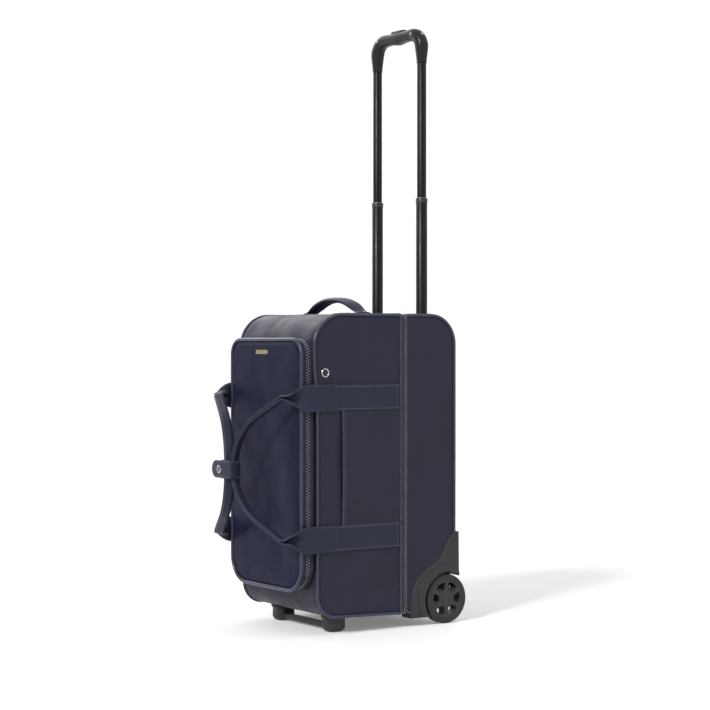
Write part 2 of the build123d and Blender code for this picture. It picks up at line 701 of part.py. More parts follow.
for side, sign in SIDES:
    with BuildPart() as lock_pin:
        with BuildSketch(Plane.YZ.offset(sign * (TUBE_X - PIN_INNER))):
            with Locations((TUBE_Y, LOCK_Z)):
                Circle(LOCK_PIN_RADIUS)
        extrude(amount=-sign * (PIN_END - PIN_INNER))
    write(lock_pin, f"lock_pin_{side}")

with BuildPart() as release_linkage:
    with BuildSketch(Plane.XY.offset(YOKE_Z[0])):
        with Locations((0, TUBE_Y)):
            RectangleRounded(2 * TUBE_X + 6, YOKE_DEPTH, 2)
    extrude(amount=YOKE_Z[1] - YOKE_Z[0])
    with BuildSketch(Plane.XY.offset(LOCK_Z - 8)):
        with Locations(*TUBE_AXES):
            Circle(RELEASE_ROD_RADIUS)
    extrude(amount=YOKE_Z[0] - (LOCK_Z - 8))
write(release_linkage, "release_linkage")

# Grip: a padded bail over the two upper tubes, with a slot for the button in its top
bar_z = GRIP_TOP_Z - GRIP_BAR_HEIGHT / 2
GRIP_SCREW_POINTS = [(sign * (TUBE_X - 16), TUBE_Y - GRIP_DEPTH / 2, bar_z) for _, sign in SIDES]
with BuildPart() as grip:
    with BuildLine(Plane.XZ.offset(-TUBE_Y)) as bail:
        FilletPolyline(
            (-TUBE_X, GRIP_LEG_Z),
            (-TUBE_X, bar_z),
            (TUBE_X, bar_z),
            (TUBE_X, GRIP_LEG_Z),
            radius=GRIP_CORNER_RADIUS,
        )
    with BuildSketch(Plane.XY.offset(GRIP_LEG_Z)) as section:
        with Locations((-TUBE_X, TUBE_Y)):
            RectangleRounded(GRIP_BAR_HEIGHT, GRIP_DEPTH, 7)
    sweep(path=bail.line)
    add(tube_holes(UPPER_TUBE_RADIUS + 0.05, GRIP_LEG_Z - 1, GRIP_SOCKET_Z + 0.1), mode=Mode.SUBTRACT)
    add(tube_holes(RELEASE_ROD_RADIUS + 1, GRIP_LEG_Z, YOKE_Z[1]), mode=Mode.SUBTRACT)
    with BuildSketch(Plane.XY.offset(YOKE_Z[0] - BUTTON_TRAVEL - 0.6)):
        with Locations((0, TUBE_Y)):
            Rectangle(2 * TUBE_X + 8, YOKE_DEPTH + 1.2)
    extrude(amount=YOKE_Z[1] - YOKE_Z[0] + BUTTON_TRAVEL + 1.2, mode=Mode.SUBTRACT)
    with BuildSketch(Plane.XY.offset(YOKE_Z[0] - BUTTON_TRAVEL - 0.6)):
        with Locations((0, TUBE_Y)):
            RectangleRounded(BUTTON_LENGTH + 0.8, BUTTON_WIDTH + 0.8, BUTTON_WIDTH / 2)
    extrude(amount=40, mode=Mode.SUBTRACT)
    with Locations(*GRIP_SCREW_POINTS):
        Cylinder(2.5, 2.1, rotation=(90, 0, 0), mode=Mode.SUBTRACT)
write(grip, "grip")

with BuildPart() as release_button:
    with BuildSketch(Plane.XY.offset(YOKE_Z[1] + 0.05)):
        with Locations((0, TUBE_Y)):
            RectangleRounded(BUTTON_LENGTH, BUTTON_WIDTH, BUTTON_WIDTH / 2 - 0.4)
    extrude(amount=GRIP_TOP_Z + BUTTON_PROUD - YOKE_Z[1] - 0.05)
    fillet(release_button.faces().sort_by(Axis.Z)[-1].edges(), 1.6)
write(release_button, "release_button")

with BuildPart() as grip_screws:
    with Locations(*GRIP_SCREW_POINTS):
        Cylinder(2.4, 2, rotation=(90, 0, 0))
write(grip_screws, "grip_screws")

# Wheels: a moulded housing, an axle and a tyre on a windowed hub on each side
for side, sign in SIDES:
    shell_x = (HOUSING_X[0] - 1, HOUSING_X[1] - HOUSING_WALL)
    cup_x = (HOUSING_X[0], HOUSING_X[1] + 1)
    well_x = (WHEEL_X[0] - 1, HOUSING_X[1] + 1)
    with BuildPart() as housing:
        add(housing_block(0, HOUSING_X, sign))
        hollow = housing_block(HOUSING_WALL, shell_x, sign)
        hollow -= wheel_well(WELL_RADIUS + HOUSING_WALL, (cup_x[0] - 2, cup_x[1]), sign)
        add(hollow, mode=Mode.SUBTRACT)
        add(wheel_well(WELL_RADIUS, well_x, sign), mode=Mode.SUBTRACT)
        with BuildSketch(Plane.YZ.offset(sign * (HOUSING_X[0] - 1))):
            with Locations((WHEEL_Y, WHEEL_RADIUS - AXLE_BOSS - 40)):
                Rectangle(2 * WELL_RADIUS - 2, 80)
        extrude(amount=sign * 40, mode=Mode.SUBTRACT)
        with BuildSketch(Plane.YZ.offset(sign * (HOUSING_X[0] - 1))):
            with Locations((WHEEL_Y, WHEEL_RADIUS)):
                Circle(AXLE_RADIUS + 0.05)
        extrude(amount=sign * 40, mode=Mode.SUBTRACT)
        with Locations(*[(sign * HOUSING_SCREW_X, HOUSING_REAR_Y, z) for z in HOUSING_SCREW_Z]):
            Cylinder(1.9, 10, rotation=(90, 0, 0), mode=Mode.SUBTRACT)
    write(housing, f"wheel_housing_{side}")

    wheel_plane = Plane.YZ.offset(sign * WHEEL_X[0])
    width = sign * (WHEEL_X[1] - WHEEL_X[0])
    with BuildPart() as tyre:
        with BuildSketch(wheel_plane):
            with Locations((WHEEL_Y, WHEEL_RADIUS)):
                Circle(WHEEL_RADIUS)
                Circle(TYRE_BORE, mode=Mode.SUBTRACT)
        extrude(amount=width)
        fillet(tyre.edges().filter_by(GeomType.CIRCLE).sort_by(SortBy.RADIUS)[-2:], 4)
    write(tyre, f"tyre_{side}")

    with BuildPart() as hub:
        with BuildSketch(wheel_plane.offset(sign * 0.5)):
            with Locations((WHEEL_Y, WHEEL_RADIUS)):
                Circle(TYRE_BORE - 0.02)
                with PolarLocations(WINDOW_CENTRE, WINDOW_COUNT, start_angle=0):
                    RectangleRounded(WINDOW_SIZE[0], WINDOW_SIZE[1], 5, mode=Mode.SUBTRACT)
        extrude(amount=width - sign)
        with BuildSketch(wheel_plane.offset(-sign)):
            with Locations((WHEEL_Y, WHEEL_RADIUS)):
                Circle(AXLE_RADIUS + AXLE_CLEARANCE)
        extrude(amount=sign * (AXLE_END_X + 1 - WHEEL_X[0] + 1), mode=Mode.SUBTRACT)
    write(hub, f"wheel_hub_{side}")

with BuildPart() as axles:
    for _, sign in SIDES:
        head_plane = Plane.YZ.offset(sign * (HOUSING_X[0] - 0.1))
        for radius, length in ((AXLE_RADIUS + 3, -3), (AXLE_RADIUS, AXLE_END_X - HOUSING_X[0])):
            with BuildSketch(head_plane):
                with Locations((WHEEL_Y, WHEEL_RADIUS)):
                    Circle(radius)
            extrude(amount=sign * length)
write(axles, "wheel_axles")

with BuildPart() as housing_screws:
    points = [
        (sign * HOUSING_SCREW_X, HOUSING_REAR_Y + 0.1, z) for _, sign in SIDES for z in HOUSING_SCREW_Z
    ]
    with Locations(*points):
        Cylinder(3.4, 1.2, rotation=(-90, 0, 0), align=FLOOR)
        Cylinder(1.8, 8, rotation=(90, 0, 0), align=FLOOR)
write(housing_screws, "housing_screws")


# Zip sliders: a plate on the chain with two ears and a cross pin, and a hinged pull
def zip_slider(plane):
    """A slider on its chain: local x runs with the pull, local z stands off the fabric."""
    with BuildPart(plane) as slider:
        with Locations((SLIDER_LENGTH / 2 - 5, 0, 0)):
            Box(SLIDER_LENGTH, SLIDER_WIDTH, SLIDER_PLATE, align=FLOOR)
        with Locations((0, EAR_SPREAD, 0), (0, -EAR_SPREAD, 0)):
            Box(3.6, 1.2, PULL_PIN_Z + 1.2, align=FLOOR)
        with Locations((0, 0, PULL_PIN_Z)):
            Cylinder(PULL_PIN_RADIUS, 2 * EAR_SPREAD, rotation=(90, 0, 0))
    return slider.part


def zip_pull(plane):
    """The pull that turns on a slider's cross pin."""
    with BuildPart(plane) as pull:
        with Locations((PULL_LENGTH / 2, 0, PULL_PIN_Z)):
            Box(PULL_LENGTH, PULL_WIDTH, PULL_THICKNESS)
        with Locations((0, 0, PULL_PIN_Z)):
            Cylinder(PULL_EYE_RADIUS, PULL_WIDTH, rotation=(90, 0, 0))
            Cylinder(PULL_PIN_RADIUS + 0.1, 20, rotation=(90, 0, 0), mode=Mode.SUBTRACT)
        with Locations((PULL_LENGTH - 6, 0, PULL_PIN_Z)):
            Box(5, 2.4, 5, mode=Mode.SUBTRACT)
    return pull.part


chain_top = TOP_Z + CHAIN_PROUD + 0.2
pocket_side = -(POCKET_HALF_WIDTH + CHAIN_PROUD + 0.2)
slider_planes = {
    "main_zip": Plane((MAIN_SLIDER_X, ZIP_Y, chain_top), x_dir=(1, 0, 0), z_dir=(0, 0, 1)),
    "second_zip": Plane((SECOND_SLIDER_X, ZIP_Y, chain_top), x_dir=(-1, 0, 0), z_dir=(0, 0, 1)),
    "pocket_zip": Plane(
        (pocket_side, POCKET_ZIP_Y, POCKET_SLIDER_Z), x_dir=(0, 0, -1), z_dir=(-1, 0, 0)
    ),
}
for name, plane in slider_planes.items():
    with BuildPart() as slider:
        add(zip_slider(plane))
    write(slider, f"{name}_slider")
    with BuildPart() as pull:
        add(zip_pull(plane))
    write(pull, f"{name}_pull")
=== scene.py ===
"""Looks of the softside upright suitcase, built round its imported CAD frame. Metres, +Z up."""
import math

import bmesh
import bpy
import numpy as np
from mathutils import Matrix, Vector, noise


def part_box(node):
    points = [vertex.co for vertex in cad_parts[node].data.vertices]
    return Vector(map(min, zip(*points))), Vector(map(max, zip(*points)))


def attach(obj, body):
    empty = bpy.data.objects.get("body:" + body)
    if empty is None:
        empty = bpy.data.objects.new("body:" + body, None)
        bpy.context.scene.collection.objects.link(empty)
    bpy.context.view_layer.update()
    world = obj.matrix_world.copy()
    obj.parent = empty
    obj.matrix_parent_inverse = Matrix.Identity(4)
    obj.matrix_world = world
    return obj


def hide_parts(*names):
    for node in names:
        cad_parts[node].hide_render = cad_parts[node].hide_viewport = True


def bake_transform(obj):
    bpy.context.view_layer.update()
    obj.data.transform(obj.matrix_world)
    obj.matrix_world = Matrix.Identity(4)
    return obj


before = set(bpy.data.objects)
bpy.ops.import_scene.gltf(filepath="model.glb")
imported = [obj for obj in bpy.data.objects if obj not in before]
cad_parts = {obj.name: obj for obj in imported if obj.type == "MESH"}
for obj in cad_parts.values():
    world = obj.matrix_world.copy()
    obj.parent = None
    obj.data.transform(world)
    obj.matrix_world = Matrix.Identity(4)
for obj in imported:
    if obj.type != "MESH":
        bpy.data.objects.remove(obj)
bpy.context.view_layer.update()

SIDES = (("left", -1), ("right", 1))


def middle_of(node, axis):
    """The middle of a CAD node's box along one axis."""
    return sum(getattr(corner, axis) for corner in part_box(node)) / 2


# The body's outline, taken from the frame
FRONT_LOW, FRONT_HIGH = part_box("front_gusset")
HALF_WIDTH = FRONT_HIGH.x
FRONT_Y = FRONT_LOW.y
BACK_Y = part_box("rear_gusset")[1].y
TOP_Z = FRONT_HIGH.z
BOTTOM_FRONT_Z = 0.030
BOTTOM_BACK_Z = 0.021
TOP_RADIUS = 0.050
BOTTOM_FRONT_RADIUS = 0.038
BOTTOM_BACK_RADIUS = 0.020
EDGE_RADIUS = 0.005
SEAM_DROP = EDGE_RADIUS * (1 - math.sqrt(0.5))
SEAM_X = HALF_WIDTH - SEAM_DROP
PIPING_RADIUS = 0.0026
SEAM_GROOVE = 0.0014
FABRIC = 0.0022

ZIP_Y = (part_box("main_zip_chain_front")[1].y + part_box("main_zip_chain_rear")[0].y) / 2
EDGE_PIPING_Y = middle_of("zip_edge_piping", "y")
FRONT_END_Y = EDGE_PIPING_Y + 0.001
REAR_START_Y = ZIP_Y + 0.0042
CHAIN_END_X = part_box("main_zip_chain_front")[0].x
TOOTH_PITCH = 0.0046

POCKET_LOW, POCKET_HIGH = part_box("pocket_panel")
POCKET_TOP_RADIUS = 0.026
POCKET_BOTTOM_RADIUS = 0.044
POCKET_ZIP_Y = middle_of("pocket_zip_chain", "y")

HOUSING_LOW, HOUSING_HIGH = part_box("wheel_housing_right")
WHEEL_LOW, WHEEL_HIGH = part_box("tyre_right")
TUBE_X = 0.066
TUBE_Y = middle_of("upper_tubes", "y")
TUBE_HOLE = 0.0118
WHEEL_Y = (WHEEL_LOW.y + WHEEL_HIGH.y) / 2
WHEEL_Z = (WHEEL_LOW.z + WHEEL_HIGH.z) / 2
WHEEL_RADIUS = WHEEL_HIGH.z - WHEEL_Z
HUB_RADIUS = (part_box("wheel_hub_right")[1].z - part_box("wheel_hub_right")[0].z) / 2
WELL_RADIUS = WHEEL_RADIUS + 0.004
ARCH_RADIUS = WHEEL_RADIUS + 0.019

STRAP_UPPER_Z = middle_of("side_straps_upper", "z")
STRAP_LOWER_Z = middle_of("side_straps_lower", "z")
STRAP_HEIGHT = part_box("side_straps_upper")[1].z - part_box("side_straps_upper")[0].z
STRAP_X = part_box("side_straps_upper")[1].x
MID_Z = (STRAP_UPPER_Z + STRAP_LOWER_Z) / 2
FOLD_X, FOLD_Y = 0.105, -0.157
WRAP_X, WRAP_Y = 0.0075, -0.1927
LOOP_RADIUS = 0.100
STRAP_LEAVES_Y = -0.112
STRAP_BEND_Y = -0.135
STRAP_TURNED_Y = -0.150
FOLD_STARTS_Y = -0.116
WEB_THICKNESS = 0.0026
FOLDED_WIDTH = 0.037
FOLDED_THINNING = 0.0004
FOLD_ANGLE = math.radians(102)
SEWN_LIFT = 0.0034
WRAP_RADIUS = 0.0085
PATH_STEP = 0.0035

# Skins' thicknesses, and the offsets of zip teeth from their tapes
STRIP_THICKNESS = 0.0012
TAPE_THICKNESS = 0.0009
TOOTH_HALF_WIDTH = 0.00080
TOOTH_HALF_HEIGHT = 0.00110
ALONG_Y = np.array((0.0, 1.0, 0.0))


# ---------------------------------------------------------------- materials
def new_material(name):
    """A node material with its Principled shader and object coordinates."""
    material = bpy.data.materials.new(name)
    material.use_nodes = True
    nodes = material.node_tree.nodes
    shader = nodes["Principled BSDF"]
    place = nodes.new("ShaderNodeTexCoord")
    return material, nodes, material.node_tree.links, shader, place.outputs["Object"]


def scaled(colour, factor):
    """A colour made lighter or darker, and never brighter than 1."""
    return tuple(min(1.0, factor * c) for c in colour)


def noise_node(nodes, links, place, scale, detail=4.0, roughness=0.55, stretch=None):
    """Noise at a scale in cycles per metre, stretched along the axes if asked."""
    texture = nodes.new("ShaderNodeTexNoise")
    texture.inputs["Scale"].default_value = scale
    texture.inputs["Detail"].default_value = detail
    texture.inputs["Roughness"].default_value = roughness
    if stretch is None:
        links.new(place, texture.inputs["Vector"])
    else:
        mapping = nodes.new("ShaderNodeMapping")
        mapping.inputs["Scale"].default_value = stretch
        links.new(place, mapping.inputs["Vector"])
        links.new(mapping.outputs["Vector"], texture.inputs["Vector"])
    return texture.outputs["Fac"]


def ramp(nodes, links, value, stops):
    """A colour ramp over a value: stops are (position, grey or colour)."""
    node = nodes.new("ShaderNodeValToRGB")
    elements = node.color_ramp.elements
    while len(elements) < len(stops):
        elements.new(0.5)
    for element, (position, colour) in zip(elements, stops):
        if isinstance(colour, float):
            colour = (colour, colour, colour)
        element.position = position
        element.color = (*colour, 1.0)
    links.new(value, node.inputs["Fac"])
    return node.outputs["Color"]


def mix(nodes, links, share, first, second, mode="MIX"):
    """A colour mix; share is a socket or a number, and each colour a socket or a tuple."""
    node = nodes.new("ShaderNodeMix")
    node.data_type = "RGBA"
    node.blend_type = mode
    for socket, value in ((node.inputs[0], share), (node.inputs[6], first), (node.inputs[7], second)):
        if isinstance(value, (float, int)):
            socket.default_value = value
        elif isinstance(value, tuple):
            socket.default_value = (*value, 1.0)
        else:
            links.new(value, socket)
    return node.outputs[2]


def bump(nodes, links, shader, layers):
    """Chained bump: layers are (height socket, distance in metres, strength)."""
    previous = None
    for height, distance, strength in layers:
        node = nodes.new("ShaderNodeBump")
        node.inputs["Distance"].default_value = distance
        node.inputs["Strength"].default_value = strength
        links.new(height, node.inputs["Height"])
        if previous is not None:
            links.new(previous, node.inputs["Normal"])
        previous = node.outputs["Normal"]
    links.new(previous, shader.inputs["Normal"])


def coated_fabric(name, colour, roughness=0.46, grain=1.0, sheen=0.02, worn=1.35, shine=0.24):
    """Coated canvas: fine pebbled grain, uneven gloss, and paler wear where it bends sharply."""
    material, nodes, links, shader, place = new_material(name)
    broad = noise_node(nodes, links, place, 9, 3)
    patches = ramp(nodes, links, broad, ((0.30, scaled(colour, 0.86)),
                                         (0.70, scaled(colour, 1.14))))
    fine = noise_node(nodes, links, place, 650, 2)
    speckled = mix(nodes, links, ramp(nodes, links, fine, ((0.35, 0.0), (0.75, 0.30))), patches,
                   scaled(colour, 1.5))
    shape = nodes.new("ShaderNodeNewGeometry")
    edge = ramp(nodes, links, shape.outputs["Pointiness"], ((0.51, 0.0), (0.60, 0.5)))
    worn_colour = scaled(colour, worn * 1.6)
    links.new(mix(nodes, links, edge, speckled, worn_colour), shader.inputs["Base Color"])
    gloss = ramp(nodes, links, noise_node(nodes, links, place, 26, 5),
                 ((0.3, roughness - 0.06), (0.7, roughness + 0.09)))
    links.new(gloss, shader.inputs["Roughness"])
    shader.inputs["Specular IOR Level"].default_value = shine
    shader.inputs["Sheen Weight"].default_value = sheen
    shader.inputs["Sheen Roughness"].default_value = 0.5
    shader.inputs["Sheen Tint"].default_value = (0.55, 0.60, 0.85, 1.0)
    shader.inputs["Specular Tint"].default_value = (0.78, 0.82, 1.0, 1.0)
    pebbles = nodes.new("ShaderNodeTexVoronoi")
    pebbles.feature = "SMOOTH_F1"
    pebbles.inputs["Scale"].default_value = 900
    links.new(place, pebbles.inputs["Vector"])
    bump(nodes, links, shader, (
        (noise_node(nodes, links, place, 14, 3), 0.0030, 0.18 * grain),
        (noise_node(nodes, links, place, 120, 5), 0.0004, 0.30 * grain),
        (pebbles.outputs["Distance"], 0.00030, 0.42 * grain),
    ))
    return material


def woven(name, colour, threads_per_metre=1400, roughness=0.8, depth=0.0003):
    """Plain weave for tapes, linings and boards."""
    material, nodes, links, shader, place = new_material(name)
    waves = []
    for direction in ("X", "Y", "Z"):
        wave = nodes.new("ShaderNodeTexWave")
        wave.bands_direction = direction
        wave.inputs["Scale"].default_value = threads_per_metre / 6.28
        wave.inputs["Distortion"].default_value = 0.6
        wave.inputs["Detail"].default_value = 1.0
        links.new(place, wave.inputs["Vector"])
        waves.append(wave.outputs["Fac"])
    weave = mix(nodes, links, 1.0, mix(nodes, links, 0.5, waves[0], waves[1]), waves[2], "MULTIPLY")
    tone = mix(nodes, links, weave, scaled(colour, 0.72), scaled(colour, 1.25))
    broad = ramp(nodes, links, noise_node(nodes, links, place, 20, 3), ((0.3, 0.82), (0.7, 1.0)))
    links.new(mix(nodes, links, 1.0, tone, broad, "MULTIPLY"), shader.inputs["Base Color"])
    shader.inputs["Roughness"].default_value = roughness
    shader.inputs["Sheen Weight"].default_value = 0.3
    bump(nodes, links, shader, ((weave, depth, 0.6), (noise_node(nodes, links, place, 60, 4), 0.0008, 0.2)))
    return material


def moulded(name, colour, roughness=0.42, texture=0.25, coat=0.0, scuff=0.35, specular=0.32):
    """Moulded plastic or rubber: fine spark-eroded texture, faint scuffs and uneven gloss."""
    material, nodes, links, shader, place = new_material(name)
    broad = noise_node(nodes, links, place, 30, 4)
    tone = ramp(nodes, links, broad, ((0.3, scaled(colour, 0.85)),
                                      (0.7, scaled(colour, 1.12))))
    scuffs = noise_node(nodes, links, place, 90, 6, 0.7, (1.0, 1.0, 0.18))
    scuffed = mix(nodes, links, ramp(nodes, links, scuffs, ((0.62, 0.0), (0.70, scuff))), tone,
                  scaled(colour, 1.9))
    links.new(scuffed, shader.inputs["Base Color"])
    links.new(ramp(nodes, links, noise_node(nodes, links, place, 45, 5),
                   ((0.3, roughness - 0.05), (0.7, roughness + 0.10))), shader.inputs["Roughness"])
    shader.inputs["Specular IOR Level"].default_value = specular
    shader.inputs["Coat Weight"].default_value = coat
    shader.inputs["Coat Roughness"].default_value = 0.12
    bump(nodes, links, shader, ((noise_node(nodes, links, place, 1600, 2), 0.00012, texture),
                                (scuffs, 0.00015, min(0.10, texture))))
    return material


def metal(name, colour, roughness=0.25, brushed=(1.0, 1.0, 12.0)):
    """Plated metal with fine brushing and slight tarnish."""
    material, nodes, links, shader, place = new_material(name)
    lines = noise_node(nodes, links, place, 700, 3, 0.6, brushed)
    tarnish = noise_node(nodes, links, place, 160, 4)
    links.new(ramp(nodes, links, tarnish, ((0.35, scaled(colour, 0.75)), (0.65, colour))),
              shader.inputs["Base Color"])
    links.new(ramp(nodes, links, lines, ((0.3, roughness - 0.08), (0.7, roughness + 0.12))),
              shader.inputs["Roughness"])
    shader.inputs["Metallic"].default_value = 1.0
    bump(nodes, links, shader, ((lines, 0.00008, 0.25),))
    return material


NAVY = (0.0122, 0.0120, 0.0215)
MATERIALS = {
    "shell": coated_fabric("shell_coated_canvas", NAVY),
    # Front pocket panel: a darker copy of the shell canvas, which is painted shade on the forward-facing
    # panel
    "pocket": coated_fabric("pocket_canvas_painted_shade", (0.0062, 0.0067, 0.0205), 0.42, shine=0.08),
    # Piping: paler than the shell canvas; the extra lightness is a painted highlight along the cords
    "piping": coated_fabric("piping_vinyl_painted_highlight", (0.0170, 0.0180, 0.0340), 0.28, 0.4, 0.02, 1.2, 0.5),
    "strap": coated_fabric("strap_vinyl", (0.0150, 0.0158, 0.0290), 0.38, 0.6, 0.03, 1.3, 0.20),
    "thread": woven("stitch_thread", (0.050, 0.055, 0.100), 5000, 0.6, 0.0001),
    "tape": woven("zip_tape_weave", (0.0040, 0.0042, 0.0080), 1500, 0.85),
    # Zip teeth: the real teeth are dark navy; this light grey colour is a painted highlight along the chains
    "teeth": moulded("zip_teeth_nylon_painted_highlight", (0.190, 0.198, 0.235), 0.25, 0.05, 0.3),
    "lining": woven("lining_weave", (0.075, 0.080, 0.105), 1100, 0.7),
    "board": woven("fibre_board", (0.028, 0.028, 0.032), 700, 0.85, 0.0002),
    "steel": metal("zinc_plated_steel", (0.52, 0.53, 0.55), 0.32),
    "plastic": moulded("housing_plastic", (0.0185, 0.0178, 0.0200), 0.42, 0.45),
    "tube": moulded("tube_black_paint", (0.0040, 0.0037, 0.0036), 0.34, 0.02, 0.0, 0.02, 0.20),
    "grip": moulded("grip_soft_plastic", (0.0100, 0.0094, 0.0120), 0.34, 0.20, specular=0.22),
    "button": moulded("button_plastic", (0.0120, 0.0118, 0.0140), 0.36, 0.15),
    "tyre": moulded("tyre_rubber", (0.0185, 0.0185, 0.0195), 0.58, 0.6),
    "hub": moulded("hub_plastic", (0.0220, 0.0220, 0.0250), 0.40, 0.3),
    "nickel": metal("polished_nickel", (0.48, 0.475, 0.465), 0.18, (1.0, 1.0, 1.0)),
    "gunmetal": metal("slider_gunmetal", (0.16, 0.16, 0.18), 0.28, (1.0, 1.0, 1.0)),
    "gold": metal("brushed_gold", (0.46, 0.37, 0.22), 0.30, (12.0, 1.0, 1.0)),
}
KEPT_NODES = {
    "plastic": ("handle_bezel",),
    "tube": ("outer_tubes",),
    "board": ("back_board", "base_board"),
    "lining": ("tube_cover",),
    "steel": ("wheel_axles", "tube_bracket", "bracket_screws", "release_linkage", "lock_pin_left",
              "lock_pin_right", "housing_screws", "foot_screws", "grip_screws"),
    "nickel": ("snap_stud", "carry_handle_rivets"),
    "gunmetal": ("main_zip_slider", "main_zip_pull", "second_zip_slider", "second_zip_pull",
                 "pocket_zip_slider", "pocket_zip_pull"),
    "gold": ("name_plate",),
}


def finish_kept_nodes():
    """The CAD nodes whose shape is right keep their mesh and get a material."""
    for finish, names in KEPT_NODES.items():
        for name in names:
            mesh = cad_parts[name].data
            mesh.materials.clear()
            mesh.materials.append(MATERIALS[finish])


# ---------------------------------------------------------------- mesh helpers
def make_object(name, vertices, faces, smooth=True):
    """A mesh object from plain lists."""
    mesh = bpy.data.meshes.new(name)
    mesh.from_pydata([tuple(float(c) for c in v) for v in vertices], [], faces)
    mesh.validate()
    if smooth:
        mesh.polygons.foreach_set("use_smooth", [True] * len(mesh.polygons))
    obj = bpy.data.objects.new(name, mesh)
    bpy.context.scene.collection.objects.link(obj)
    return obj


def tidy_normals(obj, flip=False):
    """Merge doubled points and make the faces of a closed mesh look outward."""
    shape = bmesh.new()
    shape.from_mesh(obj.data)
    bmesh.ops.remove_doubles(shape, verts=shape.verts, dist=1e-6)
    bmesh.ops.recalc_face_normals(shape, faces=shape.faces)
    if flip:
        bmesh.ops.reverse_faces(shape, faces=shape.faces)
    shape.to_mesh(obj.data)
    shape.free()
    return obj


def bake(obj):
    """Apply all modifiers of an object."""
    graph = bpy.context.evaluated_depsgraph_get()
    baked = bpy.data.meshes.new_from_object(obj.evaluated_get(graph))
    obj.modifiers.clear()
    old = obj.data
    obj.data = baked
    baked.name = old.name
    bpy.data.meshes.remove(old)
    return obj


def join(name, objects):
    """Join mesh objects into one and keep their materials."""
    merged = bmesh.new()
    finishes = []
    for obj in objects:
        start = len(merged.faces)
        merged.from_mesh(obj.data)
        merged.faces.ensure_lookup_table()
        own = list(obj.data.materials) or [None]
        for face in merged.faces[start:]:
            finish = own[min(face.material_index, len(own) - 1)]
            if finish not in finishes:
                finishes.append(finish)
            face.material_index = finishes.index(finish)
    mesh = bpy.data.meshes.new(name)
    merged.to_mesh(mesh)
    merged.free()
    for finish in finishes:
        mesh.materials.append(finish)
    for obj in objects:
        bpy.data.objects.remove(obj)
    result = bpy.data.objects.new(name, mesh)
    bpy.context.scene.collection.objects.link(result)
    return result


def shell(name, rows, outside, inside, thickness=FABRIC, centre=None, close_rows=False,
          close_columns=False):
    """A sheet through a grid of points, given thickness away from its outer side."""
    count, width = len(rows), len(rows[0])
    faces = []
    for i in range(count if close_rows else count - 1):
        for j in range(width if close_columns else width - 1):
            i2, j2 = (i + 1) % count, (j + 1) % width
            faces.append((i * width + j, i * width + j2, i2 * width + j2, i2 * width + j))
    obj = make_object(name, [p for row in rows for p in row], faces)
    mesh = obj.data
    if centre is not None:
        total = sum((polygon.center - Vector(centre)).dot(polygon.normal) * polygon.area
                    for polygon in mesh.polygons)
        if total < 0:
            mesh.flip_normals()
    mesh.materials.append(outside)
    mesh.materials.append(inside)
    solid = obj.modifiers.new("thickness", "SOLIDIFY")
    solid.thickness = thickness
    solid.offset = -1
    solid.material_offset = 1
    solid.material_offset_rim = 0
    return bake(obj)


def loft(name, stations, material, closed=False):
    """A skin through closed cross-sections that all have the same number of points."""
    count = len(stations[0])
    faces = []
    for i in range(len(stations) if closed else len(stations) - 1):
        i2 = (i + 1) % len(stations)
        for j in range(count):
            j2 = (j + 1) % count
            faces.append((i * count + j, i * count + j2, i2 * count + j2, i2 * count + j))
    if not closed:
        faces.append(tuple(range(count)))
        faces.append(tuple(range((len(stations) - 1) * count, len(stations) * count)))
    obj = tidy_normals(make_object(name, [p for s in stations for p in s], faces))
    obj.data.materials.append(material)
    return obj


def pills(name, ends, material, sides=6):
    """Many small rounded bars: each is (start, end, lift direction, half width, half height)."""
    vertices, faces = [], []
    shape = ((0.0, 0.45), (0.16, 1.0), (0.84, 1.0), (1.0, 0.45))
    for start, end, lift, half_width, half_height in ends:
        start, end, lift = np.array(start), np.array(end), np.array(lift)
        across = np.cross(end - start, lift)
        across /= np.linalg.norm(across)
        base = len(vertices)
        for share, size in shape:
            for k in range(sides):
                angle = 2 * math.pi * (k + 0.5) / sides
                vertices.append(start + share * (end - start)
                                + size * half_width * math.cos(angle) * across
                                + size * half_height * math.sin(angle) * lift)
        for ring in range(len(shape) - 1):
            for k in range(sides):
                a, b = base + sides * ring + k, base + sides * ring + (k + 1) % sides
                faces.append((a, b, b + sides, a + sides))
        faces.append(tuple(range(base + sides - 1, base - 1, -1)))
        last = base + sides * (len(shape) - 1)
        faces.append(tuple(range(last, last + sides)))
    obj = tidy_normals(make_object(name, vertices, faces))
    obj.data.materials.append(material)
    return obj


def rectangle(low_u, low_v, high_u, high_v):
    """The corners of a rectangle, anticlockwise from the lower left."""
    return (low_u, low_v), (high_u, low_v), (high_u, high_v), (low_u, high_v)


def rounded_polygon(corners, radii, step):
    """Points and outward normals round a convex polygon with rounded corners, anticlockwise."""
    corners = [np.array(c, float) for c in corners]
    count = len(corners)
    arcs = []
    for i, corner in enumerate(corners):
        before = corners[i - 1] - corner
        after = corners[(i + 1) % count] - corner
        before /= np.linalg.norm(before)
        after /= np.linalg.norm(after)
        half = math.acos(float(np.clip(before @ after, -1, 1))) / 2
        reach = radii[i] / math.tan(half)
        bisector = (before + after) / np.linalg.norm(before + after)
        centre = corner + bisector * radii[i] / math.sin(half)
        start, end = corner + before * reach, corner + after * reach
        first = math.atan2(start[1] - centre[1], start[0] - centre[0])
        arcs.append((centre, radii[i], first, math.pi - 2 * half, start, end))
    points, normals = [], []
    for i, (centre, radius, first, turn, _, end) in enumerate(arcs):
        pieces = max(4, int(radius * turn / step * 1.5))
        for k in range(pieces + 1):
            angle = first + turn * k / pieces
            normal = np.array((math.cos(angle), math.sin(angle)))
            points.append(centre + normal * radius)
            normals.append(normal)
        stop = arcs[(i + 1) % count][4]
        pieces = max(1, int(np.linalg.norm(stop - end) / step))
        for k in range(1, pieces):
            points.append(end + (stop - end) * k / pieces)
            normals.append(normal)
    return np.array(points), np.array(normals)


